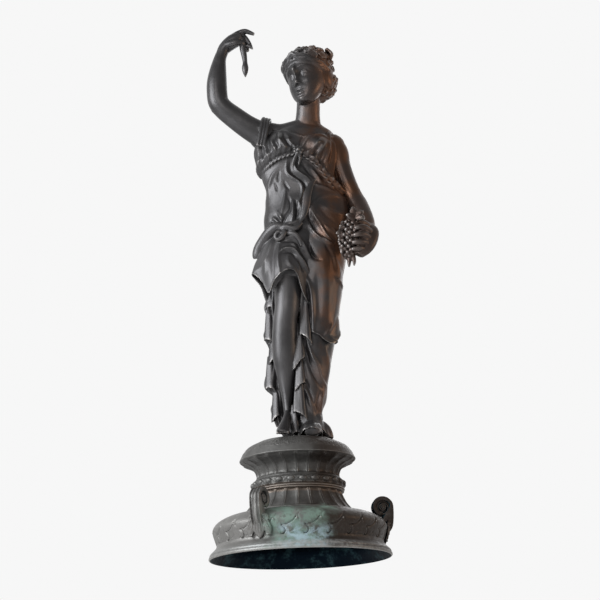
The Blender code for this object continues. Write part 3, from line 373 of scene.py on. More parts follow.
GIRDLE = (
    (-135, 400), (-90, 403), (-58, 411), (-40, 417), (-28, 420), (-13, 423), (0, 423), (13, 416), (27, 406),
    (40, 392), (54, 380), (74, 370), (100, 368), (135, 378), (178, 392),
)
NECKLINE = (
    (-150, 465), (-95, 486), (-60, 471), (-39, 469), (-19, 466), (0, 459), (12, 454), (31, 458), (50, 458),
    (78, 459), (110, 464), (160, 458),
)
MANTLE_FOLDS = (
    (2.8, 2.2, (36, 377), (42, 375), (54, 372), (68, 365)),
    (2.2, 2.6, (34, 345), (47, 356), (61, 360), (74, 360)),
    (5.6, 2.4, (33, 344), (34, 328), (43, 311), (52, 293), (62, 284)),
    (-5.0, 3.2, (27, 336), (29, 318), (37, 301), (47, 286)),
    (6.0, 2.6, (27, 320), (32, 304), (41, 292), (50, 286), (60, 281)),
    (3.0, 2.6, (37, 333), (47, 316), (56, 304), (66, 297)),
    (-6.0, 3.4, (23, 302), (24, 279), (32, 262), (42, 256)), (-2.4, 3.0, (42, 340), (54, 326), (68, 316)),
    (1.8, 3.0, (48, 344), (62, 334), (78, 330)), (2.4, 3.4, (60, 310), (68, 290), (70, 262)),
    (-2.0, 3.0, (50, 280), (58, 262), (60, 240)),
)


def tunic():
    """Chest, bodice and the clinging cloth down to the hips."""
    rings = (
        (236, 22, 3, 44, 20, 24), (250, 20, 3, 50, 26, 31), (270, 20, 3, 57, 30, 35),
        (285, 21, 3, 61, 32, 36), (300, 23, 3, 62, 32.5, 35), (315, 25, 3, 62, 32, 33),
        (334, 26, 2, 63, 30, 29), (350, 26, 2, 60.5, 28, 26), (361, 25, 2, 59, 27, 25),
        (376, 21.5, 2, 54, 27, 24), (396, 15.5, 2, 53.5, 27, 25), (410, 14.5, 2, 54.5, 27, 26),
        (425, 13, 2, 58, 28, 27), (445, 13.5, 3, 60, 27, 29), (460, 16, 4, 56, 23, 28),
        (472, 20, 5, 47, 19, 25), (481, 24, 6, 32, 15, 21), (489, 28, 6, 20, 13, 16),
    )
    folds = (
        (2.6, 1.9, (-1, 418), (-2, 399), (4, 390), (15, 381), (20, 372), (19, 359), (14, 346), (10, 328)),
        (-3.0, 2.6, (4, 414), (4, 400), (11, 391), (22, 381), (26, 368), (25, 350), (18, 330)),
        (2.4, 2.0, (9, 412), (14, 398), (26, 388), (35, 378)), (-1.8, 2.0, (22, 408), (30, 396), (38, 386)),
        (-2.2, 1.6, (-12, 400), (-15, 390), (-14, 384)), (-2.0, 1.5, (-20, 384), (-18, 376), (-16, 370)),
        (1.8, 2.4, (-24, 396), (-29, 380), (-29, 366)), (-2.2, 1.6, (-7, 384), (-3, 376), (1, 370)),
        (2.6, 2.6, (-4, 372), (-6, 352), (-10, 332), (-13, 312)),
        (-2.8, 1.7, (0, 358), (3, 340), (-5, 325), (-12, 310)),
        (-3.4, 1.8, (10, 352), (12, 335), (10, 314)), (2.6, 2.0, (6, 352), (6, 334), (4, 312)),
        (2.6, 2.0, (15, 350), (18, 334), (15, 314)), (2.0, 1.6, (-24, 330), (-11, 313)),
        (-1.8, 1.3, (-20, 333), (-8, 315)), (2.0, 1.6, (-17, 338), (-7, 318)),
        (2.0, 1.6, (-28, 322), (-12, 308)), (-1.8, 1.3, (-27, 326), (-12, 311)),
        (2.0, 1.6, (-30, 313), (-14, 304)), (1.4, 2.2, (-12, 408), (-22, 396), (-27, 380)),
        (1.6, 2.0, (36, 400), (44, 388), (50, 376)), (-1.5, 1.7, (30, 402), (38, 390), (43, 379)),
    )
    gathers = (
        (3.4, 2.2, (2, 452), (6, 440), (14, 428)), (-3.0, 1.9, (-4, 462), (-1, 444), (9, 427)),
        (3.0, 2.0, (-11, 464), (-9, 446), (1, 426)), (-2.6, 1.6, (-14, 462), (-14, 442), (-6, 424)),
        (2.6, 1.8, (-20, 462), (-19, 440), (-11, 421)), (-2.2, 1.5, (-24, 460), (-25, 438), (-17, 418)),
        (2.6, 1.8, (-31, 466), (-30, 438), (-23, 415)), (-2.2, 1.5, (-34, 462), (-35, 436), (-29, 411)),
        (2.4, 1.8, (-38, 462), (-40, 436), (-35, 406)), (2.8, 1.9, (44, 444), (36, 430), (24, 421)),
        (-2.6, 1.7, (46, 438), (38, 424), (27, 416)), (2.8, 1.9, (52, 440), (44, 424), (33, 411)),
        (3.0, 2.0, (34, 452), (26, 442), (20, 430)), (-2.6, 1.7, (26, 456), (20, 444), (17, 430)),
        (-2.6, 1.7, (56, 444), (50, 424), (41, 402)), (2.8, 1.9, (60, 448), (57, 424), (48, 394)),
        (-2.6, 1.7, (63, 448), (62, 420), (54, 386)), (2.8, 1.9, (67, 450), (67, 420), (61, 380)),
        (-2.4, 1.7, (71, 448), (72, 420), (68, 376)), (2.0, 1.8, (40, 456), (52, 454), (64, 447)),
    )

    def relief(x, y, z, turn):
        front = step(-y, -4, 10)
        girdle, neck = around(turn, GIRDLE), around(turn, NECKLINE)
        bust = bump(x, z, (-9, 442), 13, 17, 16) + bump(x, z, (44, 439), 13, 17, 16)
        bodice = step(z, girdle - 2, girdle + 2) * (1 - step(z, neck - 2, neck + 1))
        blouse = 5.0 * np.exp(-(((z - girdle - 7) / 7) ** 2)) * bodice
        crinkle = np.abs(np.sin(x / 2.1 + 0.9 * np.sin(z / 5.0))) - 0.5
        crinkle *= 1.7 * np.exp(-(((z - girdle - 7) / 9) ** 2)) * bodice
        collar = 1.8 * np.exp(-(((z - neck + 1.5) / 1.9) ** 2))
        belly = bump(x, z, (8, 325), 5, 26, 32)
        off = bust * front + belly * front + 2.2 * bodice + blouse + collar + crinkle
        skirt = rolls(x, z, folds) + rolls(x, z, MANTLE_FOLDS)
        off += front * (skirt * (1 - bodice) + rolls(x, z, gathers) * bodice)
        off += (1 - front) * bodice * pleats(turn, z, 44, 2.2, 0.3)
        gown = pleats(turn, z, 26, 1.6, -0.5, 0.4) * (1 - bodice) * (1 - step(z, 440, 455))
        return off + (1 - front) * gown

    return drape(rings, lambda turn: 236 + 0 * turn, 488, relief, columns=240, rows=170)


def thigh_panel():
    """The mantle over the bent leg, lifted to the knot, with its hollow hem above the knee."""
    rings = (
        (195, -9, -14, 32, 38, 22), (225, -9, -13, 33, 38, 22), (245, -8, -11, 35, 38, 24),
        (270, -4, -6, 38, 37, 28), (292, 3, -1, 42, 36, 31), (306, 8, 1, 44, 32, 30),
        (316, 12, 1, 43, 27, 27),
    )
    hem = (
        (-175, 180), (-125, 205), (-100, 232), (-82, 243), (-62, 226), (-40, 206), (-26, 221), (-8, 232),
        (8, 237), (26, 232), (45, 205), (90, 190), (140, 180),
    )
    folds = (
        (4.6, 2.4, (-12, 288), (1, 290), (12, 287), (18, 275), (23, 262), (32, 256), (46, 252)),
        (-3.0, 2.4, (-8, 283), (8, 281), (15, 268), (22, 254)),
        (4.6, 2.4, (-14, 266), (-8, 271), (3, 270), (11, 258), (19, 244), (26, 224)),
        (-2.6, 2.4, (-10, 264), (2, 264), (9, 252), (16, 238)),
        (2.4, 2.8, (-14, 282), (-17, 255), (-15, 226)), (2.4, 2.8, (-22, 292), (-31, 265), (-36, 238)),
        (-2.0, 3.0, (-19, 286), (-25, 258), (-25, 222)), (1.8, 2.6, (-4, 262), (-3, 248), (5, 238)),
        (1.6, 2.4, (-28, 300), (-40, 272), (-47, 248)), (2.0, 2.0, (5, 262), (9, 250), (11, 237)),
        (1.4, 2.0, (-30, 262), (-42, 246)), (1.6, 1.8, (0, 282), (6, 276), (8, 268)),
    )

    def relief(x, y, z, turn):
        rim = 1.2 * np.exp(-(((z - around(turn, hem)) / 3) ** 2))
        corner = 11 * np.exp(-(((turn + 84) / 15) ** 2)) * step(290 - z, 10, 45)
        return rolls(x, z, folds) * step(-y, -6, 6) + rim + corner + 2.0

    return drape(rings, hem, 315, relief, lip=4.0)


def standing_drape():
    """The mantle round the straight leg, down to its hem."""
    rings = (
        (138, 32, -2, 32, 27, 26), (154, 33, -3, 32, 27, 27), (190, 35, -3, 31, 29, 28),
        (220, 36, -2, 35, 31, 30), (240, 36.5, -2, 36, 32, 31), (262, 37, -1, 40, 33, 34),
        (280, 35, 0, 45, 33.5, 35), (296, 33, 1, 49, 32.5, 34), (310, 31, 1, 50, 29, 30),
    )
    hem = (
        (-170, 150), (-120, 160), (-70, 176), (-35, 168), (-14, 152), (5, 146), (20, 139), (36, 135),
        (52, 137), (66, 144), (85, 156), (120, 146), (160, 142),
    )
    folds = (
        (4.0, 2.8, (16, 244), (23, 227), (28, 206), (29, 180), (28, 145)),
        (-3.4, 2.6, (10, 236), (17, 215), (22, 190), (23, 155)),
        (-1.8, 5.0, (36, 236), (37, 205), (37, 170)),
        (1.4, 6.0, (44, 256), (50, 232), (50, 200), (48, 165)),
        (-1.4, 3.4, (60, 226), (60, 205), (58, 186)), (2.2, 3.4, (62, 262), (67, 240), (64, 214)),
        (2.2, 2.4, (62, 172), (52, 156), (42, 143)), (-2.2, 2.4, (66, 184), (60, 168), (52, 152)),
        (1.6, 3.4, (58, 232), (61, 205), (58, 180)), (2.6, 2.2, (60, 232), (68, 226), (72, 222)),
        (1.6, 2.2, (50, 146), (57, 142), (64, 150)),
    )

    def relief(x, y, z, turn):
        front = step(-y, -8, 6)
        rim = 1.5 * np.exp(-(((z - around(turn, hem)) / 2.8) ** 2))
        shape = rolls(x, z, folds) + rolls(x, z, MANTLE_FOLDS)
        return front * shape + (1 - front) * pleats(turn, z, 18, 4.0, 0.5, 0.3) + rim + 1.0

    return drape(rings, hem, 309, relief, lip=3.5, hollow=8)


def under_gown():
    """The long gown that shows below the mantle, to the hem over the standing foot."""
    rings = (
        (6, 25, -7, 19, 25, 20), (20, 20, -8, 19, 22, 20), (35, 17, -6, 17, 18, 19),
        (57, 21, -4, 21, 19, 21), (86, 23, -4, 22.5, 20, 22), (117, 26, -3, 25.5, 22, 24),
        (154, 30, -2, 29, 25, 25), (200, 31, 0, 30, 27, 26),
    )
    hem = ((-170, 6), (-90, 9), (-50, 12), (-20, 19), (5, 22), (30, 17), (60, 9), (90, 5), (140, 5))
    folds = (
        (3.4, 2.4, (20, 138), (26, 116), (32, 101), (35, 88), (43, 77)),
        (-3.2, 2.6, (16, 130), (21, 106), (28, 88), (37, 72)),
        (3.2, 2.4, (9, 84), (13, 74), (19, 60), (24, 35)), (-2.6, 2.2, (15, 84), (20, 66), (28, 44)),
        (1.8, 3.0, (44, 130), (47, 108), (44, 84)), (2.6, 2.4, (40, 70), (34, 50), (32, 26)),
        (-2.0, 2.0, (34, 70), (30, 50), (28, 30)), (2.4, 2.2, (8, 60), (9, 42), (6, 24)),
        (2.0, 2.0, (24, 58), (28, 40), (36, 22)),
    )

    def relief(x, y, z, turn):
        front = step(-y, -6, 6)
        return front * rolls(x, z, folds) + (1 - front) * pleats(turn, z, 14, 3.6, -0.4, 0.4) + 0.6

    return drape(rings, hem, 200, relief, lip=3.0, hollow=8)


def back_drape():
    """The cloth that falls behind the bent leg, with its edge in a cascade on her right."""
    rings = (
        (20, 2, 9, 26, 12, 17), (60, 0, 10, 30, 12, 19), (110, 0, 10, 31, 13, 21), (160, 0, 9, 34, 15, 24),
        (200, 0, 8, 36, 18, 27), (240, 4, 6, 42, 24, 31), (290, 12, 4, 48, 30, 36),
        (305, 14, 3, 48, 30, 34),
    )
    hem = ((-170, 12), (-120, 20), (-90, 26), (-60, 22), (-20, 40), (60, 30), (140, 8))
    edge = (
        (0, -31), (25, -28), (36, -31), (50, -34), (73, -32), (78, -38), (96, -41), (110, -36), (121, -33),
        (143, -35), (157, -41), (170, -37), (183, -35), (200, -39), (216, -34), (240, -37), (305, -34),
    )

    def relief(x, y, z, turn):
        wander = curve(z, *zip(*edge)) - curve(z, [0, 60, 160, 200, 305], [-24, -30, -34, -36, -34])
        side = np.exp(-(((turn + 88) / 24) ** 2)) + 0.5 * np.exp(-(((turn + 60) / 22) ** 2))
        cascade = -wander * side * step(250 - z, 0, 20)
        return pleats(turn, z, 22, 5.0, 0.4, 0.6) * step(-z, -300, -240) + cascade

    return drape(rings, hem, 304, relief, lip=3.0, hollow=8)


def flap(x, y, low, slant, width, tall, deep=6.0):
    """One turn of a zigzag where an edge of cloth falls: a flat cup, open below, with a slanted hem."""
    rings = (
        (low - 14, x, y, width, deep, deep), (low + 4, x, y, 0.95 * width, deep, deep),
        (low + 0.5 * tall, x, y + 1, 0.72 * width, 0.75 * deep, 0.8 * deep),
        (low + tall, x, y + 2, 0.4 * width, 0.4 * deep, 0.4 * deep),
    )

    def hem(turn):
        t = np.radians(turn)
        return low + slant * np.sin(t) + 1.5 * np.cos(2 * t)

    def relief(x, y, z, turn):
        return 0.8 * np.sin(np.radians(3 * turn))

    return drape(rings, hem, low + tall, relief, lip=1.8, hollow=7, columns=64, rows=50)


def cascades():
    """The zigzag edges of the mantle on both sides of the bare leg."""
    middle = (
        (17, 141, -8, 9.5, 74), (8, 107, 9, 9.5, 58), (8, 74, 5, 8, 44), (6, 33, -6, 10, 62),
        (-2, 7, 3, 7.5, 42),
    )
    side = (
        (-32, 196, -3, 6, 40), (-34, 147, -4, 7.5, 52), (-30, 118, 3, 6, 44), (-34, 77, -3, 8, 50),
        (-27, 36, 4, 7, 50),
    )
    made = [flap(x, -30 + 0.03 * (150 - low), low, *shape) for x, low, *shape in middle]
    return made + [flap(x, 3, low, *shape, 8.0) for x, low, *shape in side]


def knot_and_roll():
    """The mantle's upper edge, rolled round the hip and tied in front, with its hanging end."""
    return [limb(stations) for stations in (
        (
            (-2, -36, 300, 6, 5), (-16, -35, 308, 7.5, 6.5), (-28, -27, 303, 8.5, 8),
            (-38, -16, 293, 9, 8.5), (-44, -9, 284, 9.5, 9), (-46, -6, 276, 9.5, 9), (-45.5, -5, 272, 8),
        ),
        (
            (-12, -37, 307, 2.5), (-8, -41, 298, 4), (-11, -43, 290, 4), (-17, -42, 286, 3.4),
            (-21, -41, 291, 3), (-17, -42, 297, 3), (-11, -42, 296, 2.4),
        ),
        (
            (-14, -38, 303, 3), (-6, -41, 305, 4.5, 4), (4, -42, 302, 4.5, 4), (11, -40, 305, 4),
            (17, -37, 312, 3),
        ),
        ((-10, -38, 311, 2), (-2, -40, 310, 3), (8, -40, 312, 3), (15, -38, 318, 2)),
        ((-6, -38, 296, 3), (2, -41, 295, 4), (9, -42, 291, 4), (14, -41, 283, 3.2), (15, -40, 276, 2)),
        (
            (40, -31, 381, 1.6), (33, -34, 372, 4, 2.4), (27, -37, 356, 6, 3), (24, -39, 338, 6, 3.2),
            (20, -40, 322, 4.5, 3), (14, -38, 313, 2.5),
        ),
    )]


def girdle_cord():
    """The twisted cord under the bust, with its rosette of ribbon between the breasts."""
    turns = np.arange(-180, 181, 3.0)
    levels = around(turns, GIRDLE) - 1
    made = []
    for start in (0.0, 0.5):
        twist = 2 * math.pi * (start + turns / 15)
        strand = [
            (
                17 + (54 + 1.1 * math.cos(w)) * math.sin(math.radians(t)),
                2 - (33 + 1.1 * math.cos(w)) * math.cos(math.radians(t)), z + 1.5 * math.sin(w), 1.5,
            )
            for t, z, w in zip(turns, levels, twist)
        ]
        made.append(limb(strand, columns=8, rows=360, front=(0, 0, 1)))
    for k in range(7):
        t = 2 * math.pi * k / 7
        petal = (16 + 5 * math.cos(t), -37 + math.sin(t), 425 + 5 * math.sin(t))
        made.append(ball(petal, (3.3, 4, 3.3), 2))
    made.append(ball((16, -39.5, 425), (3.2, 4, 3.2), 2))
    made.append(limb(((15, -38, 421, 2.5, 3), (10, -35, 411, 3, 3.5), (7, -32, 403, 2, 3))))
    made.append(limb(((18, -38, 421, 2, 2.6), (18, -35, 412, 2.4, 3), (16, -32, 405, 1.4, 3))))
    return made


def shoulders_and_neck():
    """Neck, collar line and the straps of the gown."""
    strap = (
        (-43, -21, 442), (-40, -20, 456), (-37, -17, 474), (-35, -8, 490), (-33, 4, 496), (-34, 16, 489),
        (-35, 24, 466),
    )
    made = [
        limb((
            (26, 8, 466, 32, 18), (30, 8, 478, 25, 17), (32, 6, 488, 20, 16.5), (33, 3, 500, 18, 17),
            (34, 0, 515, 17.5, 17), (35, -1, 535, 17), (36, 0, 552, 15),
        )),
        limb(((-36, 4, 462, 16), (-30, 4, 474, 15), (-8, 6, 473, 14, 15), (20, 7, 480, 14, 15))),
        limb(((62, 6, 449, 15, 16), (56, 6, 457, 12, 14), (45, 6, 470, 11, 14), (36, 5, 486, 13, 14))),
        ball((-38, 3, 468), (19, 19, 21)),
        ball((67, 7, 448), (20, 19, 20)),
        limb((
            (60, -20, 440, 4, 2.6), (62, -15, 457, 3.6, 2.4), (64, -4, 467, 3.2, 2.2),
            (64, 6, 469.5, 3.2, 2.2), (62, 18, 463, 3.6, 2.4), (58, 26, 448, 4, 2.6),
        )),
    ]
    for shift, width in ((0.0, 2.6), (4.4, 2.0), (8.6, 2.4)):
        made.append(limb([(x + shift, y, z - 0.3 * shift, width, 2.4) for x, y, z in strap]))
    return made


def raised_arm():
    """Her right arm, lifted, with the hand bent over and a stem between the fingers."""
    return [
        limb((
            (-26, 4, 465, 18, 17), (-42, 1, 472, 19, 18), (-60, -4, 482, 17.5, 17),
            (-78, -9, 495, 16.5, 16), (-92, -13, 506, 15.5), (-100, -15, 517, 15.5), (-102, -16, 532, 15.5),
            (-102, -16, 550, 15), (-100, -16, 570, 12.5, 13), (-97, -16, 588, 9.5, 10.5),
            (-92, -16, 602, 8.5, 9.5),
        ), rows=70, front=(0.2, -1, 0)),
        ball((-101, -13, 508), (11, 11, 9)),
        limb((
            (-95, -16, 597, 8, 9.5), (-89, -16, 607, 9.5, 10.5), (-79, -16, 616, 10.5, 12.5),
            (-70, -16, 621, 10, 12), (-64, -16, 623, 7, 10),
        ), front=(0, -1, 0)),
        limb((
            (-76, -20, 624, 4.6), (-67, -21, 629, 4.2), (-58, -22, 631, 3.8), (-50, -22, 628, 3.2),
            (-44, -22, 625, 2.2),
        )),
        limb(((-70, -18, 627, 4), (-60, -18, 624, 3.8), (-53, -18, 614, 3.2), (-49, -18, 606, 2.2))),
        limb(((-70, -11, 625, 4), (-61, -11, 620, 3.6), (-56, -11, 610, 3.2), (-55, -12, 602, 2.4))),
        limb(((-72, -5, 622, 3.6), (-64, -5, 616, 3.2), (-60, -6, 607, 2.8), (-60, -8, 601, 2))),
        limb(((-86, -22, 608, 5.5), (-76, -26, 609, 5.4, 5), (-67, -25, 610, 4.2), (-60, -22, 610, 3))),
        limb((
            (-62, -20, 622, 3.4), (-62, -20, 606, 5, 4.4), (-60, -20, 590, 4.2, 4), (-59, -20, 579, 3.6),
            (-59, -20, 571, 5, 4.6), (-59, -20, 564, 4.2, 4), (-59, -20, 559, 2.4), (-59, -20, 555, 1),
        )),
        limb(((-56, -20, 608, 2.4, 2), (-50, -20, 605, 2.6, 2), (-47, -20, 601, 1))),
    ]


def lowered_arm():
    """Her left arm, with the hand curled round the grapes at her hip."""
    fingers = (
        ((114, -36, 300, 5.4), (107, -45, 304, 5.2), (98, -52, 304, 4.8), (90, -55, 301, 3.4)),
        ((114, -45, 291, 5), (107, -54, 294, 4.8), (98, -59, 294, 4.4), (91, -60, 292, 3)),
        ((111, -49, 282, 4.8), (104, -58, 283, 4.6), (96, -62, 282, 4.2), (89, -61, 281, 3)),
        ((108, -51, 273, 4.6), (101, -58, 272, 4.4), (93, -61, 271, 4), (87, -60, 271, 2.8)),
        ((103, -51, 264, 4.2), (97, -57, 263, 4), (91, -58, 262, 3.4), (86, -58, 262, 2.4)),
    )
    made = [
        limb((
            (64, 6, 462, 12), (73, 7, 440, 17.5, 18), (78, 8, 416, 15.8, 17), (86, 9, 390, 14.8, 16),
            (95, 8, 367, 14.3, 15.5), (102, 1, 350, 14.3, 15), (107, -9, 333, 13.3, 14),
            (111, -19, 317, 11.8, 12), (113, -27, 306, 10, 9.5), (114, -32, 299, 9),
        ), rows=70),
        limb((
            (113, -30, 303, 9, 10), (114, -38, 292, 9.5, 13), (109, -44, 277, 9, 14),
            (102, -47, 266, 8, 13), (95, -49, 256, 4.5, 8),
        ), front=(1, -0.2, 0)),
        ball((102, -48, 284), (11, 12, 19)),
    ]
    return made + [limb(finger) for finger in fingers]


def grapes():
    """A tapering bunch of grapes with leaves."""
    made = []
    for k in range(GRAPES):
        share = (k + 0.5) / GRAPES
        z = 308 - 56 * share
        wide = 14.2 * math.sin(math.pi * (0.18 + 0.76 * share)) ** 0.8
        t = GOLDEN * k
        x = 85 - 3 * share + wide * math.cos(t)
        made.append(ball((x, -47 + 0.9 * wide * math.sin(t), z), (3.0, 3.0, 3.2), 2))
    core = ((86, -47, 316, 4), (86, -47, 292, 11, 10), (84, -47, 266, 8), (83, -47, 250, 3))
    made.append(limb(core))
    made.append(limb(((83, -48, 256, 3), (82, -48, 247, 3), (81.5, -48, 239, 1.4))))
    made.append(limb(((88, -49, 256, 3), (89, -50, 247, 2.8), (88.5, -50, 240, 1.2))))
    lobes = (
        ((94, -56, 308, 4), (91, -59, 317, 6), (90, -59, 325, 2)),
        ((95, -57, 309, 4), (100, -60, 315, 5), (105, -60, 317, 1.6)),
        ((95, -58, 307, 4), (101, -62, 308, 4.5), (106, -62, 305, 1.4)),
        ((92, -57, 306, 4), (85, -61, 311, 4.5), (80, -61, 313, 1.6)),
        ((80, -50, 290, 3), (72, -55, 289, 4.5), (65, -56, 287, 1.6)),
        ((78, -51, 286, 3), (72, -55, 281, 4), (68, -56, 276, 1.4)),
        ((80, -52, 296, 2.5), (74, -56, 297, 3.5), (70, -56, 298, 1.4)),
        ((76, -50, 268, 2.5), (73, -54, 263, 3.5), (71, -54, 257, 1.2)),
    )
    for lobe in lobes:
        made.append(limb([(x, y, z, wide, 2.2) for x, y, z, wide in lobe], columns=16, rows=14))
    return made


def legs_and_feet():
    """The bare bent leg, both feet and the turned hem by the standing foot."""
    made = [
        limb((
            (-4, -8, 285, 26, 28), (-6, -14, 250, 24, 25), (-6, -24, 220, 20), (-7, -29, 200, 18, 18.5),
            (-8, -31, 186, 17, 17.5), (-11, -28, 166, 17, 17.5), (-12, -22, 140, 18.5),
            (-12, -18, 116, 17.5, 18), (-12, -15, 92, 13, 13.5), (-11.5, -14, 70, 9, 10),
            (-11.5, -14, 52, 6.4, 8.5), (-11.5, -15, 38, 5.4, 8), (-11.5, -15, 28, 5.6, 8),
            (-11, -12, 20, 5, 7),
        ), rows=80),
        limb((
            (-11.5, -16, 42, 4.6, 5), (-12.2, -23, 33, 5.4, 6), (-14.5, -32, 23, 6.6, 6),
            (-17, -41, 14, 8, 5), (-18.5, -48, 8, 8.8, 4.4), (-19, -54, 5, 8, 3.4),
        ), front=(0.1, -0.5, 1)),
        limb((
            (-11.5, -12, 32, 5, 6), (-11, -3, 24, 5.5, 6), (-11, -6, 15, 5, 6), (-12, -20, 9, 6, 5),
            (-15, -34, 5, 7, 4),
        )),
        limb((
            (22, -6, 18, 12), (22, -26, 12, 12, 9), (22, -40, 8, 12, 7), (22, -48, 6, 10, 5),
        ), front=(0, 0, -1)),
        limb((
            (26, 4, 26, 8, 7), (34, -2, 24, 7), (41, -8, 17, 6.5), (45, -11, 10, 5, 5.5), (46, -12, 3, 5),
        )),
        limb(((36, 12, 20, 6), (44, 4, 10, 6), (45, 0, 3, 5))),
    ]
    for k in range(5):
        x = -25.5 + 3.4 * k
        tip = (x - 0.4, -58 + 1.2 * k, 3, 1.7, 1.8)
        toe = ((x + 1.2, -48, 6.5, 2.1, 2.6), (x, -54, 4.5, 2.1, 2.2), tip)
        made.append(limb(toe, columns=10, rows=10, front=(0, 0, -1)))
    rings = (
        (2, 20, -30, 16.5, 25, 16), (12, 20, -29, 15, 22, 16), (19, 20.5, -26, 12, 18, 15),
        (25, 21, -20, 7, 9, 12),
    )

    def hem(turn):
        return 3 + 7 * np.cos(np.radians(turn)) ** 2 * (np.abs(turn) < 90)

    def relief(x, y, z, turn):
        return 0.8 * np.sin(np.radians(7 * turn))

    made.append(drape(rings, hem, 25, relief, lip=2.5, hollow=9, columns=60, rows=30))
    return made


HEAD_CENTRE = Vector((36, -3, 556))
HEAD_TURN = (math.radians(10), math.radians(5), math.radians(-33))
HEAD_SIZE = 1.12
LEAVES = 11
SKULL = (
    (-40, 0, 3, -24, -17), (-38, 0, 8, -28.5, -12), (-34, 0, 13, -31, -5), (-28, 0, 18, -31.5, 2),
    (-21, 0, 22, -31.5, 12), (-12, 0, 25, -32, 24), (-2, 0, 26.5, -32, 33), (8, 0, 27.5, -33.5, 37),
    (18, 0, 27, -32, 37), (27, 0, 23, -26, 33), (34, 0, 16, -17, 25), (38, 0, 8, -7, 15),
    (39.5, 0, 2, -1, 8),
)


def face_relief(x, z):
    """How far the features of a calm, evenly proportioned face stand out at each point of its front."""
    off = roll(x, z, ((0, 11), (0, 2), (0, -12)), 5.5, 3.0, 0.4) + bump(x, z, (0, -11.5), 4.2, 3.6, 3.4)
    off += bump(x, z, (0, 7), 2.0, 5, 5) + bump(x, z, (0, -34), 2.2, 6, 5)
    off -= bump(x, z, (0, -29.2), 1.2, 5, 2.6)
    off += roll(x, z, ((-7, -22.6), (-2.6, -20.4), (0, -21.2), (2.6, -20.4), (7, -22.6)), 1.7, 2.0)
    off += roll(x, z, ((-5.4, -24.9), (0, -26.2), (5.4, -24.9)), 1.9, 2.3)
    off -= roll(x, z, ((-7.6, -22.6), (0, -23.4), (7.6, -22.6)), 1.6, 1.2)
    for side in (-1, 1):
        off += bump(x, z, (side * 3.6, -13.4), 1.9, 2.4, 2.0) + bump(x, z, (side * 14, -12), 1.4, 7, 7)
        off -= bump(x, z, (side * 10.5, 1.2), 4.0, 6.2, 4.6) + bump(x, z, (side * 5.0, 1.0), 1.4, 2.6, 4)
        off += bump(x, z, (side * 11, 0), 3.1, 4.4, 2.9)
        off += roll(x, z, ((side * 6, -0.6), (side * 10.5, 3.0), (side * 16.5, -0.4)), 1.2, 1.1)
        off += roll(x, z, ((side * 6.4, -1.4), (side * 11, -3.0), (side * 16, -1)), 0.6, 1.1)
        off -= roll(x, z, ((side * 6, 2.4), (side * 10.5, 5.0), (side * 17, 2.0)), 0.8, 0.8)
        off += roll(x, z, ((side * 3.6, 7.4), (side * 11, 10.4), (side * 20, 6.6)), 1.2, 2.6)
    return off


def head_shape():
    """Skull and face."""
    table = np.array(SKULL, float)

    def place(u, v):
        z = SKULL[0][0] + (SKULL[-1][0] - SKULL[0][0]) * v
        row = curve(z, table[:, 0], table[:, 1:])
        t = 2 * np.pi * u - np.pi
        middle, deep = (row[:, 3] + row[:, 2]) / 2, (row[:, 3] - row[:, 2]) / 2
        x = row[:, 1] * np.sin(t)
        y = middle - deep * np.cos(t)
        y = y - face_relief(x, z) * step(np.cos(t), 0.1, 0.55)
        return np.stack([x, y, z], axis=1)

    return [sheet_tube(150, 150, place)]


def curl(at, outward, size):
    """A small ring curl that lies on the head, turned in on itself."""
    at, outward = Vector(at), Vector(outward).normalized()
    side = Vector((0, 0, 1)).cross(outward).normalized()
    across = outward.cross(side)
    path = []
    for k in range(8):
        turn = math.radians(62 * k)
        reach = size * (0.80 - 0.085 * k)
        spot = at + reach * (math.cos(turn) * side + math.sin(turn) * across) + 0.06 * k * size * outward
        path.append((*spot, 0.40 * size))
    return limb(path, columns=8, rows=20, front=outward)


def spiral(count, top, span, first):
    """Evenly spread directions from a height on a ball downward, as (number, x, y, height)."""
    for k in range(count):
        height = top - span * (k + first) / count
        flat = math.sqrt(1 - height * height)
        yield k, flat * math.sin(GOLDEN * k), flat * math.cos(GOLDEN * k), height


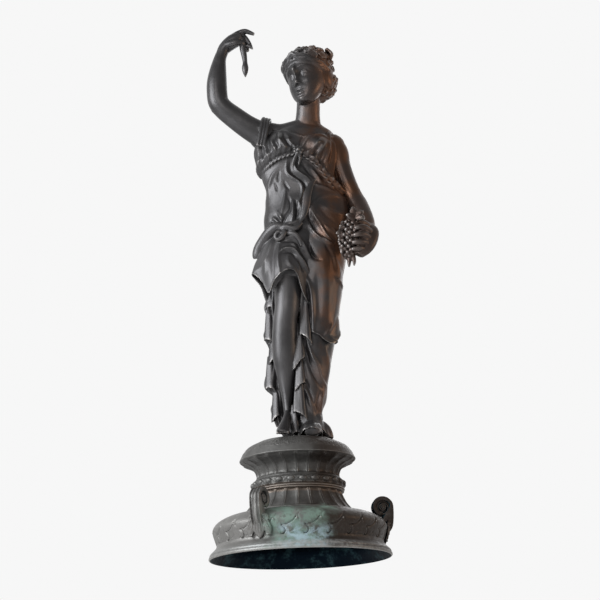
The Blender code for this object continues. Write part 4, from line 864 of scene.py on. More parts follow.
def hair_and_wreath(settings):
    """Waves over the temples and ears, ring curls, a full nape, and a wreath of leaves and berries."""
    made = [ball((0, 7, 15), (31, 34, 30)), ball((0, 24, -6), (24, 18, 20))]
    for side in (-1, 1):
        made.append(ball((side * 23.5, 7, -2), (8.5, 14, 20)))
    for k, x, y, height in spiral(settings.curls, 1, 1.75, 0.5):
        if y < -0.15 and (height < 0.1 or height < 0.45 and abs(x) < 0.8) or y < 0.25 and height < -0.45:
            continue
        size = settings.curl_size * (1 + 0.2 * math.sin(5.3 * k))
        at = (30.5 * x, 7 + 33.5 * y, 15 + (30 if height > 0 else 33) * height)
        made.append(curl(at, (x, y, height + 0.001), size))
    for k, x, y, height in spiral(settings.curls, 0.05, 0.9, 0):
        if y < -0.3:
            continue
        at = (28.5 * x, 13 + 27.5 * y, -4 + 24 * height)
        made.append(curl(at, (x, y, height), settings.curl_size * (1 + 0.2 * math.sin(4.7 * k))))
    for k in range(LEAVES):
        t = 2 * math.pi * (k + 0.3) / LEAVES
        x, y, z = 31 * math.sin(t), 6 - 33 * math.cos(t), 27 - 5 * math.cos(t)
        lean = 3 * math.sin(2.7 * k)
        leaf = (
            (x, y, z - 7, 4, 2.4), (1.03 * x + lean, 1.03 * y, z, 7.4, 2.8),
            (0.84 * x + 1.5 * lean, 0.84 * y, z + 9, 2.6, 2),
        )
        made.append(limb(leaf, columns=12, rows=10, front=(math.sin(t), -math.cos(t), 0.6)))
        made.append(ball((0.93 * x + 0.5 * lean, 0.93 * y, z + 7), (3.4, 3.4, 3.4), 2))
    for side in (-1, 1):
        for row in range(3):
            wave = []
            for k in range(10):
                t = math.radians(0.8 + 11.8 * k)
                wide = 1 + 0.03 * row
                level = 21.5 + 4.4 * row - (2.55 + 0.35 * row) * k + 1.2 * math.sin(1.9 * k + 1.6 * row)
                x, y = side * 27.5 * wide * math.sin(t), 3 - 34 * wide * math.cos(t)
                wave.append((x, y, level, 3.4, 3.2))
            made.append(limb(wave, columns=12, rows=60, front=(0, 0, 1)))
    return made


def head(settings):
    """The head, turned to her right, bowed and leaning a little."""
    pitch, lean, turn = HEAD_TURN
    place = (
        Matrix.Translation(HEAD_CENTRE)
        @ Matrix.Rotation(turn, 4, "Z")
        @ Matrix.Rotation(-lean, 4, "Y")
        @ Matrix.Rotation(pitch, 4, "X")
        @ Matrix.Scale(HEAD_SIZE, 4)
    )
    made = head_shape() + hair_and_wreath(settings)
    for bm in made:
        bmesh.ops.transform(bm, matrix=place, verts=bm.verts)
    return made


def figure_shapes(settings):
    """Everything that the figure is made of, before it is melted together."""
    shapes = [tunic(), thigh_panel(), standing_drape(), under_gown(), back_drape()]
    shapes += knot_and_roll() + girdle_cord() + shoulders_and_neck()
    shapes += raised_arm() + lowered_arm() + grapes() + legs_and_feet() + head(settings)
    return shapes + cascades()


def fine_line(points, gap):
    """A profile's points with smooth stretches filled in. A third value of 1 keeps a corner sharp."""
    line = []
    stretch = [points[0]]
    for point in points[1:]:
        stretch.append(point)
        if point[2] or point is points[-1]:
            table = np.array([p[:2] for p in stretch], float)
            steps = np.arange(len(table))
            length = np.linalg.norm(np.diff(table, axis=0), axis=1).sum()
            count = max(2, int(round(length / gap)))
            line += [tuple(p) for p in curve(np.linspace(0, len(table) - 1, count + 1)[:-1], steps, table)]
            stretch = [point]
    line.append(tuple(points[-1][:2]))
    return line


def turned(points, repeats, columns, relief):
    """A turned shell through (radius, height) points. One repeat is spun, modelled and copied round."""
    bm = bmesh.new()
    verts = [bm.verts.new((r, 0, z)) for r, z in points]
    edges = [bm.edges.new(pair) for pair in zip(verts, verts[1:])]
    pitch = 2 * math.pi / repeats
    spin = {"cent": (0, 0, 0), "axis": (0, 0, 1)}
    bmesh.ops.spin(bm, geom=verts + edges, steps=columns, angle=pitch, **spin)
    place = np.array([v.co for v in bm.verts])
    radius = np.hypot(place[:, 0], place[:, 1])
    off = relief(np.arctan2(place[:, 1], place[:, 0]), place[:, 2], radius)
    for vert, r, d in zip(bm.verts, radius, off):
        if d:
            vert.co.x *= (r + d) / r
            vert.co.y *= (r + d) / r
    copied = list(bm.verts) + list(bm.edges) + list(bm.faces)
    rest = repeats - 1
    bmesh.ops.spin(bm, geom=copied, steps=rest, angle=pitch * rest, use_duplicate=True, **spin)
    bmesh.ops.remove_doubles(bm, verts=bm.verts, dist=2e-6)
    bmesh.ops.recalc_face_normals(bm, faces=bm.faces)
    return bm


def ridge(distance, height, width):
    """A thin rounded ridge at a distance of nought."""
    return height * np.exp(-((distance / width) ** 2))


def phase_of(turn, count, start):
    """Where a turn lies in its repeat, from -0.5 to 0.5 about the middle, which lies at the start."""
    return (turn / (2 * math.pi) * count - start + 0.5) % 1.0 - 0.5


def bell_relief(settings):
    """Flutes on cone and bell, and beads in crossing strands between them."""
    bead_low, bead_high = BEADS

    def relief(turn, z, radius):
        share = phase_of(turn, settings.flutes, FLUTE_START)
        pitch = 2 * math.pi * radius / settings.flutes
        hollow = np.clip(np.cos(math.pi * share * 1.1), 0, 1) ** 0.8
        edge = np.abs(0.5 - np.abs(share)) * pitch
        double = ridge(edge - 0.0012, settings.ridge, 0.0006)
        cone = step(z, CONE + 0.0012, CONE + 0.0035) * (1 - step(z, RING - 0.0030, RING - 0.0008))
        bell = step(z, BELL + 0.0010, BELL + 0.0032) * (1 - step(z, DISC - 0.0012, DISC - 0.0002))
        off = cone * (double - settings.flute_depth * hollow)
        off += bell * (double - (settings.flute_depth + 0.022 * (radius - NECK)) * hollow)
        middle, half = (bead_low + bead_high) / 2, (bead_high - bead_low) / 2
        across, up = share * pitch / 0.0052, (z - middle) / (0.86 * half)
        egg = settings.bead * np.sqrt(np.clip(1 - across**2 - up**2, 0, 1))
        strand = 1.08 * half * np.cos(math.pi * share)
        near = np.minimum(np.abs(z - middle - strand), np.abs(z - middle + strand))
        band = step(z, bead_low - 0.001, bead_low) * (1 - step(z, bead_high, bead_high + 0.001))
        off = off + band * np.maximum(egg, ridge(near, 0.0009, 0.0005))
        return np.where(radius > 0.053, off, 0)

    return relief


def dome_relief(settings):
    """The lines of large scales cut into the dome, each ending in a hook, with a small peak above."""
    hook = (
        (0.0, 0.0435), (-0.07, 0.0395), (-0.17, 0.0360), (-0.32, 0.0330), (-0.50, 0.0312), (-0.68, 0.0310),
        (-0.60, 0.0288), (-0.54, 0.0262), (-0.53, 0.0232), (-0.58, 0.0206), (-0.67, 0.0195),
        (-0.74, 0.0208), (-0.71, 0.0222),
    )
    flank = ((0.02, 0.0420), (0.06, 0.0385), (0.11, 0.0350))
    under = ((-0.10, 0.0262), (-0.20, 0.0235), (-0.38, 0.0212))
    tick = ((-0.82, 0.0480), (-0.93, 0.0450), (-0.98, 0.0412), (-1.10, 0.0395))

    lines = ((hook, 1.0, 0.0009), (flank, 0.5, 0.0010), (under, 0.45, 0.0008), (tick, 0.6, 0.0009))

    def relief(turn, z, radius):
        share = phase_of(turn, settings.flutes, SCALE_START)
        pitch = 2 * math.pi * (RIM - 0.008) / settings.flutes
        off = np.zeros(turn.shape)
        near = (z > DOME + 0.0008) & (z < CONE - 0.008) & (radius > RIM - 0.028)
        level = z[near]
        for shift in (-1, 0, 1):
            x = (share[near] - shift) * pitch
            for path, deep, wide in lines:
                line = [(a * pitch, b) for a, b in path]
                off[near] -= roll(x, level, line, deep * settings.cut, wide, 0.35)
            off[near] += 0.0012 * np.clip(1 - np.abs(x) / 0.0030 - np.abs(level - 0.0395) / 0.0040, 0, 1)
            off[near] += MM * bump(x / MM, level / MM, (-0.30 * pitch / MM, 22.5), 0.5, 4.0, 5.0)
        return off

    return relief


def dome_points(gap):
    """The dome's closed section, from the rim up outside and down inside."""
    rim, dome = RIM, SIDE
    edge = (
        (rim - 0.002, 0.0, 1), (rim - 0.0006, 0.0004, 0), (rim, 0.0018, 0), (rim - 0.0006, 0.0038, 0),
        (rim - 0.0016, 0.0048, 1), (rim - 0.0013, 0.0060, 0), (rim - 0.0024, 0.0078, 1),
        (rim - 0.0045, 0.0098, 0), (dome - 0.0040, DOME - 0.0030, 0), (dome - 0.0050, DOME + 0.0012, 1),
    )
    outer = (
        (dome - 0.0050, DOME + 0.0012, 1), (dome - 0.0036, DOME + 0.0055, 0), (dome, DOME + 0.0175, 0),
        (dome - 0.0008, DOME + 0.024, 0), (dome - 0.007, DOME + 0.031, 0), (dome - 0.019, DOME + 0.037, 0),
        (dome - 0.034, DOME + 0.0405, 0), (BASE, CONE, 1),
    )
    inner = (
        (BASE - 0.009, CONE, 1), (BASE - 0.009, CONE - WALL, 1), (dome - 0.034, DOME + 0.0405 - WALL, 0),
        (dome - 0.021, DOME + 0.037 - WALL, 0), (dome - 0.0105, DOME + 0.0275, 0),
        (dome - WALL, DOME + 0.019, 0), (dome - 0.0045 - WALL, DOME + 0.002, 0),
        (rim - 0.002 - WALL, 0.0075, 0), (rim - 0.002, 0.0, 1),
    )
    return fine_line(edge, 1.5 * gap)[:-1] + fine_line(outer, gap) + fine_line(inner, 9 * gap)


def bell_points(gap):
    """The section of bell, rings and cone, from the middle of the flat top to the foot and back inside."""
    top, waist, neck, edge = STANDING, 0.059, NECK, 0.080
    flat = ((0.0, top, 1), (edge - 0.026, top, 1))
    upper = (
        (edge - 0.026, top, 1), (edge - 0.0112, top - 0.0075, 0), (edge - 0.0046, DISC + 0.0105, 1),
        (edge - 0.0040, DISC + 0.0098, 0), (edge - 0.0008, DISC + 0.0030, 0), (edge, DISC + 0.0012, 0),
        (edge - 0.0012, DISC, 1), (edge - 0.0052, DISC - 0.0030, 0), (edge - 0.0145, DISC - 0.0070, 0),
        (neck + 0.003, DISC - 0.0120, 0), (neck, BELL + 0.0065, 0), (neck + 0.0006, BELL + 0.0022, 1),
        (neck + 0.0022, BELL + 0.0006, 0), (neck + 0.0026, BELL - 0.0012, 1),
    )
    rings = (
        (neck + 0.0026, BELL - 0.0012, 1), (waist + 0.0018, BELL - 0.0026, 0),
        (waist + 0.0036, BELL - 0.0044, 0), (waist + 0.0038, RING + 0.0062, 1),
        (waist + 0.0024, RING + 0.0054, 0), (waist + 0.0022, RING + 0.0046, 1),
        (waist + 0.0040, RING + 0.0038, 0), (waist + 0.0044, RING + 0.0026, 0),
        (waist + 0.0030, RING + 0.0016, 1), (waist + 0.0034, RING + 0.0008, 0),
        (waist + 0.0034, RING - 0.0002, 0), (waist + 0.0018, RING - 0.0010, 1),
    )
    lower = (
        (waist + 0.0018, RING - 0.0010, 1), (waist + 0.0004, RING - 0.0016, 0),
        (waist + 0.0012, RING - 0.0050, 0), (waist + 0.0060, CONE + 0.0130, 0),
        (waist + 0.0130, CONE + 0.0040, 0), (BASE - 0.0006, CONE + 0.0014, 1), (BASE, CONE + 0.0004, 1),
    )
    inner = (
        (BASE, CONE + 0.0004, 1), (BASE - 0.009, CONE + 0.0004, 1), (waist - WALL, RING - 0.0035, 0),
        (waist - WALL, RING + 0.0045, 0), (neck - WALL, BELL, 0), (neck - WALL, BELL + 0.0145, 0),
        (neck + 0.0095 - WALL, DISC - 0.0005, 0), (neck + 0.008 - WALL, top - 0.010, 0),
        (0.030, top - WALL, 0), (0.0, top - WALL, 1),
    )
    line = fine_line(flat, 14 * gap) + fine_line(upper, 2 * gap)[1:] + fine_line(rings, gap)[1:]
    return line + fine_line(lower, 2 * gap)[1:] + fine_line(inner, 14 * gap)[1:]


def scroll_shapes():
    """A bracket on the dome, on +X: a ridged band that rises from a leaf and rolls up into a volute."""
    mid_x, mid_z, radius, half = SIDE - 0.0047, CONE + 0.006, 0.015, 0.0075

    def up(share):
        return DOME + share * (CONE - DOME)

    stem = (
        (-3, 0.10, 2.5, 0.75), (-2.5, 0.3, 3.4, 0.85), (0.3, 0.5, 6.8, 0.95), (2.0, 0.7, 7.4, 1),
        (4.8, 0.9, 5.4, 1),
    )
    band = [(SIDE + out * MM, 0, up(share), deep * MM, wide * half) for out, share, deep, wide in stem]
    for k in range(1, 18):
        turn = math.radians(30 * k - 18)
        reach = (12.8 - 0.1 * k - 0.026 * k * k) * MM
        band.append((mid_x + reach * math.cos(turn), 0, mid_z + reach * math.sin(turn), 0.0021, half))
    made = [limb(band, columns=32, rows=160, front=(0, 1, 0))]
    made.append(ball((SIDE - 0.0015, 0, up(0.90)), (0.0050, 0.9 * half, 0.0060)))
    for across in (-0.90, -0.30, 0.30, 0.90):
        rib = [(x, across * half, z, thick + 0.0008, 0.0012) for x, _, z, thick, _ in band[1:14]]
        made.append(limb(rib, columns=12, rows=120, front=(0, 1, 0)))
    for disc, reach in ((0.82, 0.60), (0.33, 1.0), (0.15, 1.15)):
        pin = [(mid_x, y * reach * half, mid_z, disc * radius) for y in (-1, -0.5, 0.5, 1)]
        made.append(limb(pin, rows=6, front=(0, 0, 1)))
    lobes = (
        (0, ((3.5, 0, 0.50, 6.5), (0.5, 0, 0.30, 8.5), (-1.5, 0, 0.12, 7), (-4.5, 0, -0.03, 2.5))),
        (1, ((2.5, 4, 0.56, 4), (0.8, 9, 0.42, 5.5), (-1, 12.5, 0.22, 5.5), (-4, 13.5, 0.03, 3.0))),
        (1, ((3.5, 4, 0.66, 3.5), (0.8, 11, 0.58, 3.2), (-0.3, 13.5, 0.47, 2.8))),
    )
    for spread, points in lobes:
        for y in (-spread, spread) if spread else (0,):
            line = [(SIDE + out * MM, y * across * MM, up(share), wide * MM, 0.0026)
                    for out, across, share, wide in points]
            made.append(limb(line, rows=24, front=(1, 0, 0)))
            for shift in (-0.45, 0.0, 0.45):
                vein = [(x + 0.0022, a + shift * wide, z, 0.0006, 0.0011) for x, a, z, wide, _ in line[:-1]]
                made.append(limb(vein, columns=10, rows=20, front=(1, 0, 0)))
    for y in (-1, 1):
        curl = []
        for k in range(7):
            turn, reach = 0.9 * k, 0.0030 - 0.0003 * k
            curl.append((SIDE - 0.0030 + 0.0003 * k, y * (0.0128 + reach * math.cos(turn)),
                         up(0.06) + reach * math.sin(turn), 0.0012, 0.0013))
        made.append(limb(curl, columns=10, rows=30, front=(1, 0, 0)))
    return made


def shade(colour, share):
    """A colour made darker or lighter."""
    return tuple(share * part for part in colour)


class Look:
    """A material's node tree, built up step by step."""

    def __init__(self, name):
        self.material = bpy.data.materials.new(name)
        self.material.use_nodes = True
        self.tree = self.material.node_tree
        self.shader = self.tree.nodes["Principled BSDF"]
        self.place = self.node("TexCoord", {}).outputs["Object"]
        self.x, self.y, self.z = self.node("SeparateXYZ", {0: self.place}).outputs
        geometry = self.node("NewGeometry", {})
        self.normal = geometry.outputs["True Normal"]
        self.crests = geometry.outputs["Pointiness"]

    def link(self, value, socket):
        """Feed a socket with another socket or with a plain value."""
        if isinstance(value, bpy.types.NodeSocket):
            self.tree.links.new(value, socket)
        else:
            socket.default_value = value

    def node(self, kind, inputs, **settings):
        """A new node with its settings, and with sockets or plain values at its inputs."""
        node = self.tree.nodes.new("ShaderNode" + kind)
        for name, value in settings.items():
            setattr(node, name, value)
        for name, value in inputs.items():
            self.link(value, node.inputs[name])
        return node

    def noise(self, scale, detail=4.0, roughness=0.55, distortion=0.0):
        """Soft noise of a scale in waves a metre."""
        inputs = {"Scale": scale, "Detail": detail, "Roughness": roughness, "Distortion": distortion}
        return self.node("TexNoise", {"Vector": self.place, **inputs}).outputs["Fac"]

    def cells(self, scale):
        """Distances from the middles of a pattern of cells."""
        return self.node("TexVoronoi", {"Vector": self.place, "Scale": scale}).outputs["Distance"]

    def math(self, operation, a, b):
        """One sum."""
        return self.node("Math", {0: a, 1: b}, operation=operation).outputs[0]

    def plus(self, a, b):
        """Two values added."""
        return self.math("ADD", a, b)

    def times(self, *values):
        """Several values multiplied."""
        product = values[0]
        for value in values[1:]:
            product = self.math("MULTIPLY", product, value)
        return product

    def less(self, a, b):
        """The first value less the second."""
        return self.math("SUBTRACT", a, b)

    def sway(self, noise, spread):
        """Noise that swings about nought."""
        return self.times(self.less(noise, 0.5), spread)

    def between(self, value, low, high, start=0.0, end=1.0):
        """A smooth step of a value between two levels."""
        inputs = {"Value": value, "From Min": low, "From Max": high, "To Min": start, "To Max": end}
        return self.node("MapRange", inputs, interpolation_type="SMOOTHSTEP").outputs["Result"]

    def inward(self):
        """One on walls that face the upright axis, such as a hollow's, and nought on the others."""
        flat = self.node("VectorMath", {0: self.place, 1: (1.0, 1.0, 0.0)}, operation="MULTIPLY")
        pair = {0: flat.outputs["Vector"], 1: self.normal}
        facing = self.node("VectorMath", pair, operation="DOT_PRODUCT")
        return self.between(facing.outputs["Value"], -0.012, -0.024)

    def mix(self, share, a, b):
        """One colour over another."""
        a, b = ((*colour, 1.0) if isinstance(colour, tuple) else colour for colour in (a, b))
        return self.node("Mix", {"Factor": share, "A": a, "B": b}, data_type="RGBA").outputs["Result"]

    def edges(self, colour, fine, spread, high, bright, dark):
        """Crests lightened by wear and as painted highlight, and creases darkened as painted shade, over a
        colour.
        """
        crest_wear_and_highlight = self.plus(self.crests, self.sway(fine, spread))
        # Painted highlight as well as wear on the crests.
        colour = self.mix(self.between(crest_wear_and_highlight, 0.515, high, 0.0, 0.8), colour, bright)
        # Painted shade in the creases.
        return self.mix(self.between(self.crests, 0.485, 0.43, 0.0, 0.85), colour, dark)

    def bump(self, height, strength, distance):
        """A relief too fine to model."""
        inputs = {"Strength": strength, "Distance": distance, "Height": height}
        normal = self.shader.inputs["Normal"]
        if normal.links:
            inputs["Normal"] = normal.links[0].from_socket
        self.link(self.node("Bump", inputs).outputs["Normal"], normal)


def dark_bronze(patina):
    """Dark bronze with a soft gloss, crests lightened by wear and as painted highlight, duller creases
    darkened as painted shade, and on her left a brown tint of patina and painted warm light, with painted
    shade there too.
    """
    look = Look("Dark bronze")
    cloudy = look.noise(14, 5, 0.6)
    fine = look.noise(160, 4, 0.6)
    bronze, warm = tuple(patina.bronze), tuple(patina.warm)
    colour = look.mix(look.between(cloudy, 0.35, 0.7), shade(bronze, 0.6), bronze)
    side = look.plus(look.x, look.sway(cloudy, 0.10))
    fruit = look.times(look.between(look.y, -0.026, -0.040), look.between(look.x, 0.058, 0.070))
    # Brown patina patches and painted warm light on her left side, but not on the grapes.
    blush = look.times(look.between(side, 0.016, 0.066), look.between(look.noise(24, 4), 0.36, 0.56))
    colour = look.mix(look.times(blush, look.less(1.0, fruit), 0.9), colour, warm)
    # Painted shade: her left side, away from the key light, darker and brown.
    colour = look.mix(look.times(look.between(side, 0.030, 0.080), 0.55), colour, shade(warm, 0.45))
    # Crests lightened by wear and as painted highlight, creases darkened as painted shade.
    colour = look.edges(colour, fine, 0.03, 0.60, tuple(patina.wear_and_highlight), (0.010, 0.009, 0.009))
    look.link(colour, look.shader.inputs["Base Color"])
    look.shader.inputs["Metallic"].default_value = 0.75
    rough = look.plus(look.between(cloudy, 0.3, 0.7, -0.05, 0.07), patina.roughness)
    rough = look.plus(rough, look.between(look.crests, 0.49, 0.45, 0.0, 0.25))
    look.link(rough, look.shader.inputs["Roughness"])
    look.bump(look.noise(420, 3, 0.6), 0.12, 0.0006)
    look.bump(look.noise(60, 3, 0.5), 0.16, 0.0012)
    return look.material


def weathered_bronze(patina):
    """Grey, stained bronze: paler on one side as painted light, brown and darker on the other partly as
    painted shade, green and pale on the dome's front, and painted dark inside as shade, with turquoise spots.
    """
    look = Look("Weathered bronze")
    fine = look.noise(240, 4, 0.65)
    spread = look.sway(look.noise(22, 5, 0.6), 0.07)
    sideways = look.plus(look.x, spread)
    grey = tuple(patina.weathered)

    # Grey, darker above the dome, paler at the dome's left as painted light where the key light falls, and at
    # its right a brown patina dark enough to be painted shade as well.
    colour = look.mix(look.between(look.noise(70, 5, 0.65), 0.35, 0.68), shade(grey, 0.6), grey)
    colour = look.mix(look.between(look.z, 0.060, 0.072, 0.0, 0.45), colour, shade(grey, 0.35))
    # Painted light: the dome's left side, which faces the key light, made paler.
    painted_light_left = look.times(look.between(sideways, -0.030, -0.070), look.between(look.z, 0.062, 0.056), 0.7)
    colour = look.mix(painted_light_left, colour, shade(grey, 1.3))
    # Brown patina on the right side, darkened as painted shade away from the key light.
    brown = look.times(look.between(sideways, 0.004, 0.036), look.between(fine, 0.25, 0.55, 0.80, 0.98))
    colour = look.mix(brown, colour, tuple(patina.umber))
    rings = look.times(look.between(look.z, 0.082, 0.085), look.between(look.z, 0.096, 0.093), 0.45)
    colour = look.mix(rings, colour, tuple(patina.copper))

    # Green, with dark stains and a pale bloom below, in a patch on the dome's front.
    patch = look.times(
        look.between(sideways, -0.056, -0.034), look.between(sideways, 0.052, 0.032),
        look.between(look.y, -0.050, -0.085), look.between(look.plus(look.z, spread), 0.066, 0.052),
    )
    green = look.times(patch, look.between(look.noise(60, 7, 0.72), 0.36, 0.58, 0.15, 0.95))
    colour = look.mix(green, colour, tuple(patina.verdigris))
    stain = look.times(patch, look.between(look.noise(130, 5, 0.7, 0.4), 0.56, 0.68), 0.75)
    colour = look.mix(stain, colour, (0.06, 0.075, 0.06))
    low = look.plus(look.z, look.times(spread, 0.25))
    foot = look.times(look.between(low, 0.036, 0.024), look.between(sideways, -0.036, -0.016))
    pale = look.times(patch, foot, look.between(look.noise(90, 5, 0.7), 0.38, 0.60), 0.85)
    colour = look.mix(pale, colour, tuple(patina.bloom))

    # A pale, scuffed lip; edges lightened by wear and as painted highlight, creases darkened as painted
    # shade; and the hollow's wall, with other walls that face the axis, painted dark as shade, with turquoise
    # patina spots.
    lip = look.times(
        look.between(look.z, 0.0125, 0.0085), look.between(fine, 0.40, 0.62, 0.25, 0.9),
        look.between(look.math("ABSOLUTE", look.x, 0.0), 0.095, 0.055, 0.35, 1.0),
    )
    colour = look.mix(lip, colour, (0.27, 0.28, 0.28))
    # Edges lightened by wear and as painted highlight, creases darkened as painted shade.
    colour = look.edges(colour, fine, 0.05, 0.58, shade(grey, 1.9), (0.018, 0.018, 0.018))
    spots = look.between(look.noise(38, 6, 0.72), 0.48, 0.66, 0.0, 0.8)
    # Painted shade: walls that face the axis, the hollow's and the scrolls' inner sides, made near black,
    # with turquoise patina spots.
    inside = look.inward()
    colour = look.mix(inside, colour, look.mix(spots, (0.003, 0.006, 0.010), (0.024, 0.050, 0.058)))
    look.link(colour, look.shader.inputs["Base Color"])
    look.link(look.less(0.60, look.times(patch, 0.5)), look.shader.inputs["Metallic"])
    rough = look.plus(look.between(fine, 0.3, 0.7, 0.40, 0.56), look.times(green, 0.2))
    look.link(rough, look.shader.inputs["Roughness"])
    # Painted shade too: those walls lose their specular reflection.
    look.link(look.times(look.less(1.0, inside), 0.5), look.shader.inputs["Specular IOR Level"])

    # The flat top is stippled, and the whole skin is a little rough.
    look.bump(look.times(look.cells(430), look.between(look.z, 0.1425, 0.1440)), 0.6, 0.0014)
    look.bump(look.noise(520, 3, 0.6), 0.25, 0.0006)
    look.bump(look.noise(110, 4, 0.6), 0.22, 0.0012)
    return look.material


def clear_scene():
    """Nothing but the frame is left of the startup scene."""
    for obj in list(bpy.data.objects):
        if obj.name in ("Cube", "Light", "Camera") and not obj.get("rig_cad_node"):
            bpy.data.objects.remove(obj)


def joined(shapes, name, place):
    """One mesh object from several closed shapes."""
    whole = bmesh.new()
    for bm in shapes:
        part = bpy.data.meshes.new("part")
        bm.to_mesh(part)
        whole.from_mesh(part)
        bm.free()
        bpy.data.meshes.remove(part)
    bmesh.ops.transform(whole, matrix=place, verts=whole.verts)
    mesh = bpy.data.meshes.new(name)
    whole.to_mesh(mesh)
    whole.free()
    obj = bpy.data.objects.new(name, mesh)
    bpy.context.scene.collection.objects.link(obj)
    return obj


def melt(obj, voxel, triangles):
    """Melt an object's shapes into one skin, smooth the voxels' steps and thin its triangles for good."""
    remesh = obj.modifiers.new("Melt", "REMESH")
    remesh.mode = "VOXEL"
    remesh.voxel_size = voxel
    graph = bpy.context.evaluated_depsgraph_get()
    quads = len(obj.evaluated_get(graph).data.polygons)
    soften = obj.modifiers.new("Soften", "SMOOTH")
    soften.factor = 0.4
    soften.iterations = 2
    thin = obj.modifiers.new("Thin", "DECIMATE")
    thin.ratio = min(1.0, triangles / (2 * quads))
    settle(obj)


def settle(obj):
    """Make what the modifiers show the object's own mesh."""
    graph = bpy.context.evaluated_depsgraph_get()
    graph.update()
    shown = bpy.data.meshes.new_from_object(obj.evaluated_get(graph))
    obj.modifiers.clear()
    obj.data = shown


def finished(obj, material, slot, *nodes, sharp=60):
    """Dress a piece, let it ride with the frame and stand for its nodes."""
    obj.data.materials.clear()
    obj.data.materials.append(material)
    obj.data.shade_smooth()
    obj.data.set_sharp_from_angle(angle=math.radians(sharp))
    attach(obj, "root")
    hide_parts(*nodes)


class STATUE_OT_figure(bpy.types.Operator):
    """Model the woman's fine surface and give it its dark skin"""

    bl_idname = "statue.figure"
    bl_label = "Woman with Stem and Grapes"

    def execute(self, context):
        settings = context.scene.statue_figure
        place = Matrix.Translation((0, 0, STANDING + GAP)) @ Matrix.Scale(MM, 4)
        obj = joined(figure_shapes(settings), "bronze_woman", place)
        for vert in obj.data.vertices:
            vert.co.z = max(vert.co.z, STANDING + GAP)
        melt(obj, settings.voxel, settings.triangles)
        finished(obj, dark_bronze(context.scene.statue_patina), "dark_bronze", "figure")
        return {"FINISHED"}


class STATUE_OT_socle(bpy.types.Operator):
    """Turn the dome and the bell of the socle and model their ornament"""

    bl_idname = "statue.socle"
    bl_label = "Fluted Socle"

    def execute(self, context):
        settings = context.scene.statue_socle
        material = weathered_bronze(context.scene.statue_patina)
        for name, points, columns, relief in (
            ("socle_dome", dome_points(DOME_GAP), DOME_COLUMNS, dome_relief(settings)),
            ("socle_bell", bell_points(BELL_GAP), BELL_COLUMNS, bell_relief(settings)),
        ):
            shell = turned(points, settings.flutes, columns, relief)
            obj = joined([shell], name, Matrix.Identity(4))
            finished(obj, material, "weathered_bronze", "socle", sharp=50)
        return {"FINISHED"}


class STATUE_OT_scrolls(bpy.types.Operator):
    """Model the scroll brackets where the frame has them"""

    bl_idname = "statue.scrolls"
    bl_label = "Scroll Brackets"

    def execute(self, context):
        material = weathered_bronze(context.scene.statue_patina)
        for name in ("scroll_right", "scroll_front", "scroll_back"):
            low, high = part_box(name)
            middle = (low + high) / 2
            turn = math.atan2(middle.y, middle.x)
            obj = joined(scroll_shapes(), name + "_band", Matrix.Rotation(turn, 4, "Z"))
            melt(obj, SCROLL_VOXEL, SCROLL_TRIANGLES)
            finished(obj, material, "weathered_bronze", name)
        return {"FINISHED"}


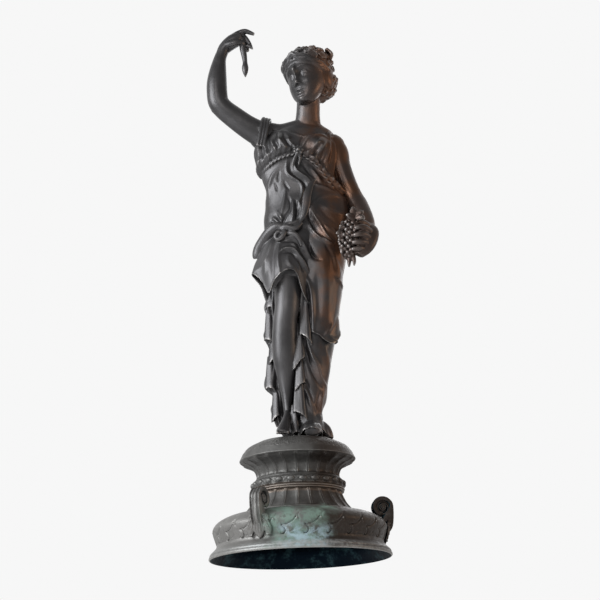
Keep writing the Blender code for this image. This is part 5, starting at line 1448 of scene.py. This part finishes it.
class STATUE_OT_stage(bpy.types.Operator):
    """Set up the pale floor, the soft light and the camera that looks up at the statue"""

    bl_idname = "statue.stage"
    bl_label = "Studio and Camera"

    def execute(self, context):
        stage = context.scene.statue_stage
        self.floor(stage)
        self.light("Key", stage.key, 1.5, (-1.9, -1.0, 1.0), (0.95, 0.98, 1.0))
        self.light("Front", 0.18 * stage.key, 0.8, (-0.5, -2.2, 1.2), (1.0, 0.98, 0.96))
        self.light("Warm", stage.fill, 0.6, (1.6, -0.3, 0.7), (1.0, 0.70, 0.46))
        self.light("Back", 0.08 * stage.key, 0.9, (0.6, 1.8, 1.2), (0.97, 0.98, 1.0))
        self.sky(stage)
        self.camera(context, stage)
        return {"FINISHED"}

    def floor(self, stage):
        """A wide pale floor."""
        bm = bmesh.new()
        bmesh.ops.create_grid(bm, x_segments=1, y_segments=1, size=30.0,
                              matrix=Matrix.Translation((0, 0, -stage.floor_drop)))
        mesh = bpy.data.meshes.new("floor")
        bm.to_mesh(mesh)
        bm.free()
        obj = bpy.data.objects.new("floor", mesh)
        bpy.context.scene.collection.objects.link(obj)
        paint = bpy.data.materials.new("Pale floor")
        paint.use_nodes = True
        shader = paint.node_tree.nodes["Principled BSDF"]
        shader.inputs["Base Color"].default_value = (0.82, 0.82, 0.82, 1.0)
        shader.inputs["Roughness"].default_value = 0.8
        mesh.materials.append(paint)

    def light(self, name, power, size, place, colour):
        """A soft light that shines at the middle of the statue."""
        data = bpy.data.lights.new(name, "AREA")
        data.energy = power
        data.size = size
        data.color = colour
        obj = bpy.data.objects.new(name, data)
        obj.location = place
        aim = Vector((0, 0, 0.4)) - obj.location
        obj.rotation_euler = aim.to_track_quat("-Z", "Y").to_euler()
        bpy.context.scene.collection.objects.link(obj)

    def sky(self, stage):
        """Pale surroundings, white behind the statue and dimmer in front of it."""
        world = bpy.data.worlds.new("Pale studio")
        world.use_nodes = True
        tree = world.node_tree
        ground = tree.nodes["Background"]
        ground.inputs["Color"].default_value = (1.0, 1.0, 1.0, 1.0)
        split = tree.nodes.new("ShaderNodeSeparateXYZ")
        tree.links.new(tree.nodes.new("ShaderNodeTexCoord").outputs["Generated"], split.inputs[0])
        dusk = tree.nodes.new("ShaderNodeMapRange")
        dusk.interpolation_type = "SMOOTHSTEP"
        levels = {"From Min": -0.3, "From Max": 0.7, "To Min": stage.dim, "To Max": stage.sky}
        for name, level in levels.items():
            dusk.inputs[name].default_value = level
        tree.links.new(split.outputs["Y"], dusk.inputs["Value"])
        tree.links.new(dusk.outputs["Result"], ground.inputs["Strength"])
        bpy.context.scene.world = world
        bpy.context.scene.view_settings.view_transform = "Standard"

    def camera(self, context, stage):
        """The camera stands below the socle's foot, looks up and leans a little."""
        data = bpy.data.cameras.new("Camera")
        data.lens = stage.lens
        data.sensor_width = 36.0
        obj = bpy.data.objects.new("Camera", data)
        place = Matrix.Translation((0, -stage.distance, stage.camera_height))
        turn = Matrix.Rotation(stage.pan, 4, "Z") @ Matrix.Rotation(math.pi / 2 + stage.pitch, 4, "X")
        obj.matrix_world = place @ turn @ Matrix.Rotation(stage.roll, 4, "Z")
        context.scene.collection.objects.link(obj)
        context.scene.camera = obj


class STATUE_PT_panel(bpy.types.Panel):
    """The statue's pieces and their settings"""

    bl_idname = "STATUE_PT_panel"
    bl_label = "Statue"
    bl_space_type = "VIEW_3D"
    bl_region_type = "UI"
    bl_category = "Statue"

    def draw(self, context):
        for group, operators in (
            ("statue_figure", (STATUE_OT_figure,)),
            ("statue_socle", (STATUE_OT_socle, STATUE_OT_scrolls)),
            ("statue_patina", ()),
            ("statue_stage", (STATUE_OT_stage,)),
        ):
            box = self.layout.box()
            settings = getattr(context.scene, group)
            for name in settings.bl_rna.properties.keys():
                if name not in ("rna_type", "name"):
                    box.prop(settings, name)
            for operator in operators:
                box.operator(operator.bl_idname)


GROUPS = {
    "statue_figure": FigureSettings,
    "statue_socle": SocleSettings,
    "statue_patina": PatinaSettings,
    "statue_stage": StageSettings,
}
TOOLS = (STATUE_OT_figure, STATUE_OT_socle, STATUE_OT_scrolls, STATUE_OT_stage, STATUE_PT_panel)


def register():
    for name, group in GROUPS.items():
        bpy.utils.register_class(group)
        setattr(bpy.types.Scene, name, PointerProperty(type=group))
    for tool in TOOLS:
        bpy.utils.register_class(tool)


def unregister():
    for tool in reversed(TOOLS):
        bpy.utils.unregister_class(tool)
    for name, group in GROUPS.items():
        delattr(bpy.types.Scene, name)
        bpy.utils.unregister_class(group)


def main():
    clear_scene()
    register()
    bpy.ops.statue.figure()
    bpy.ops.statue.socle()
    bpy.ops.statue.scrolls()
    bpy.ops.statue.stage()


if __name__ == "__main__":
    main()
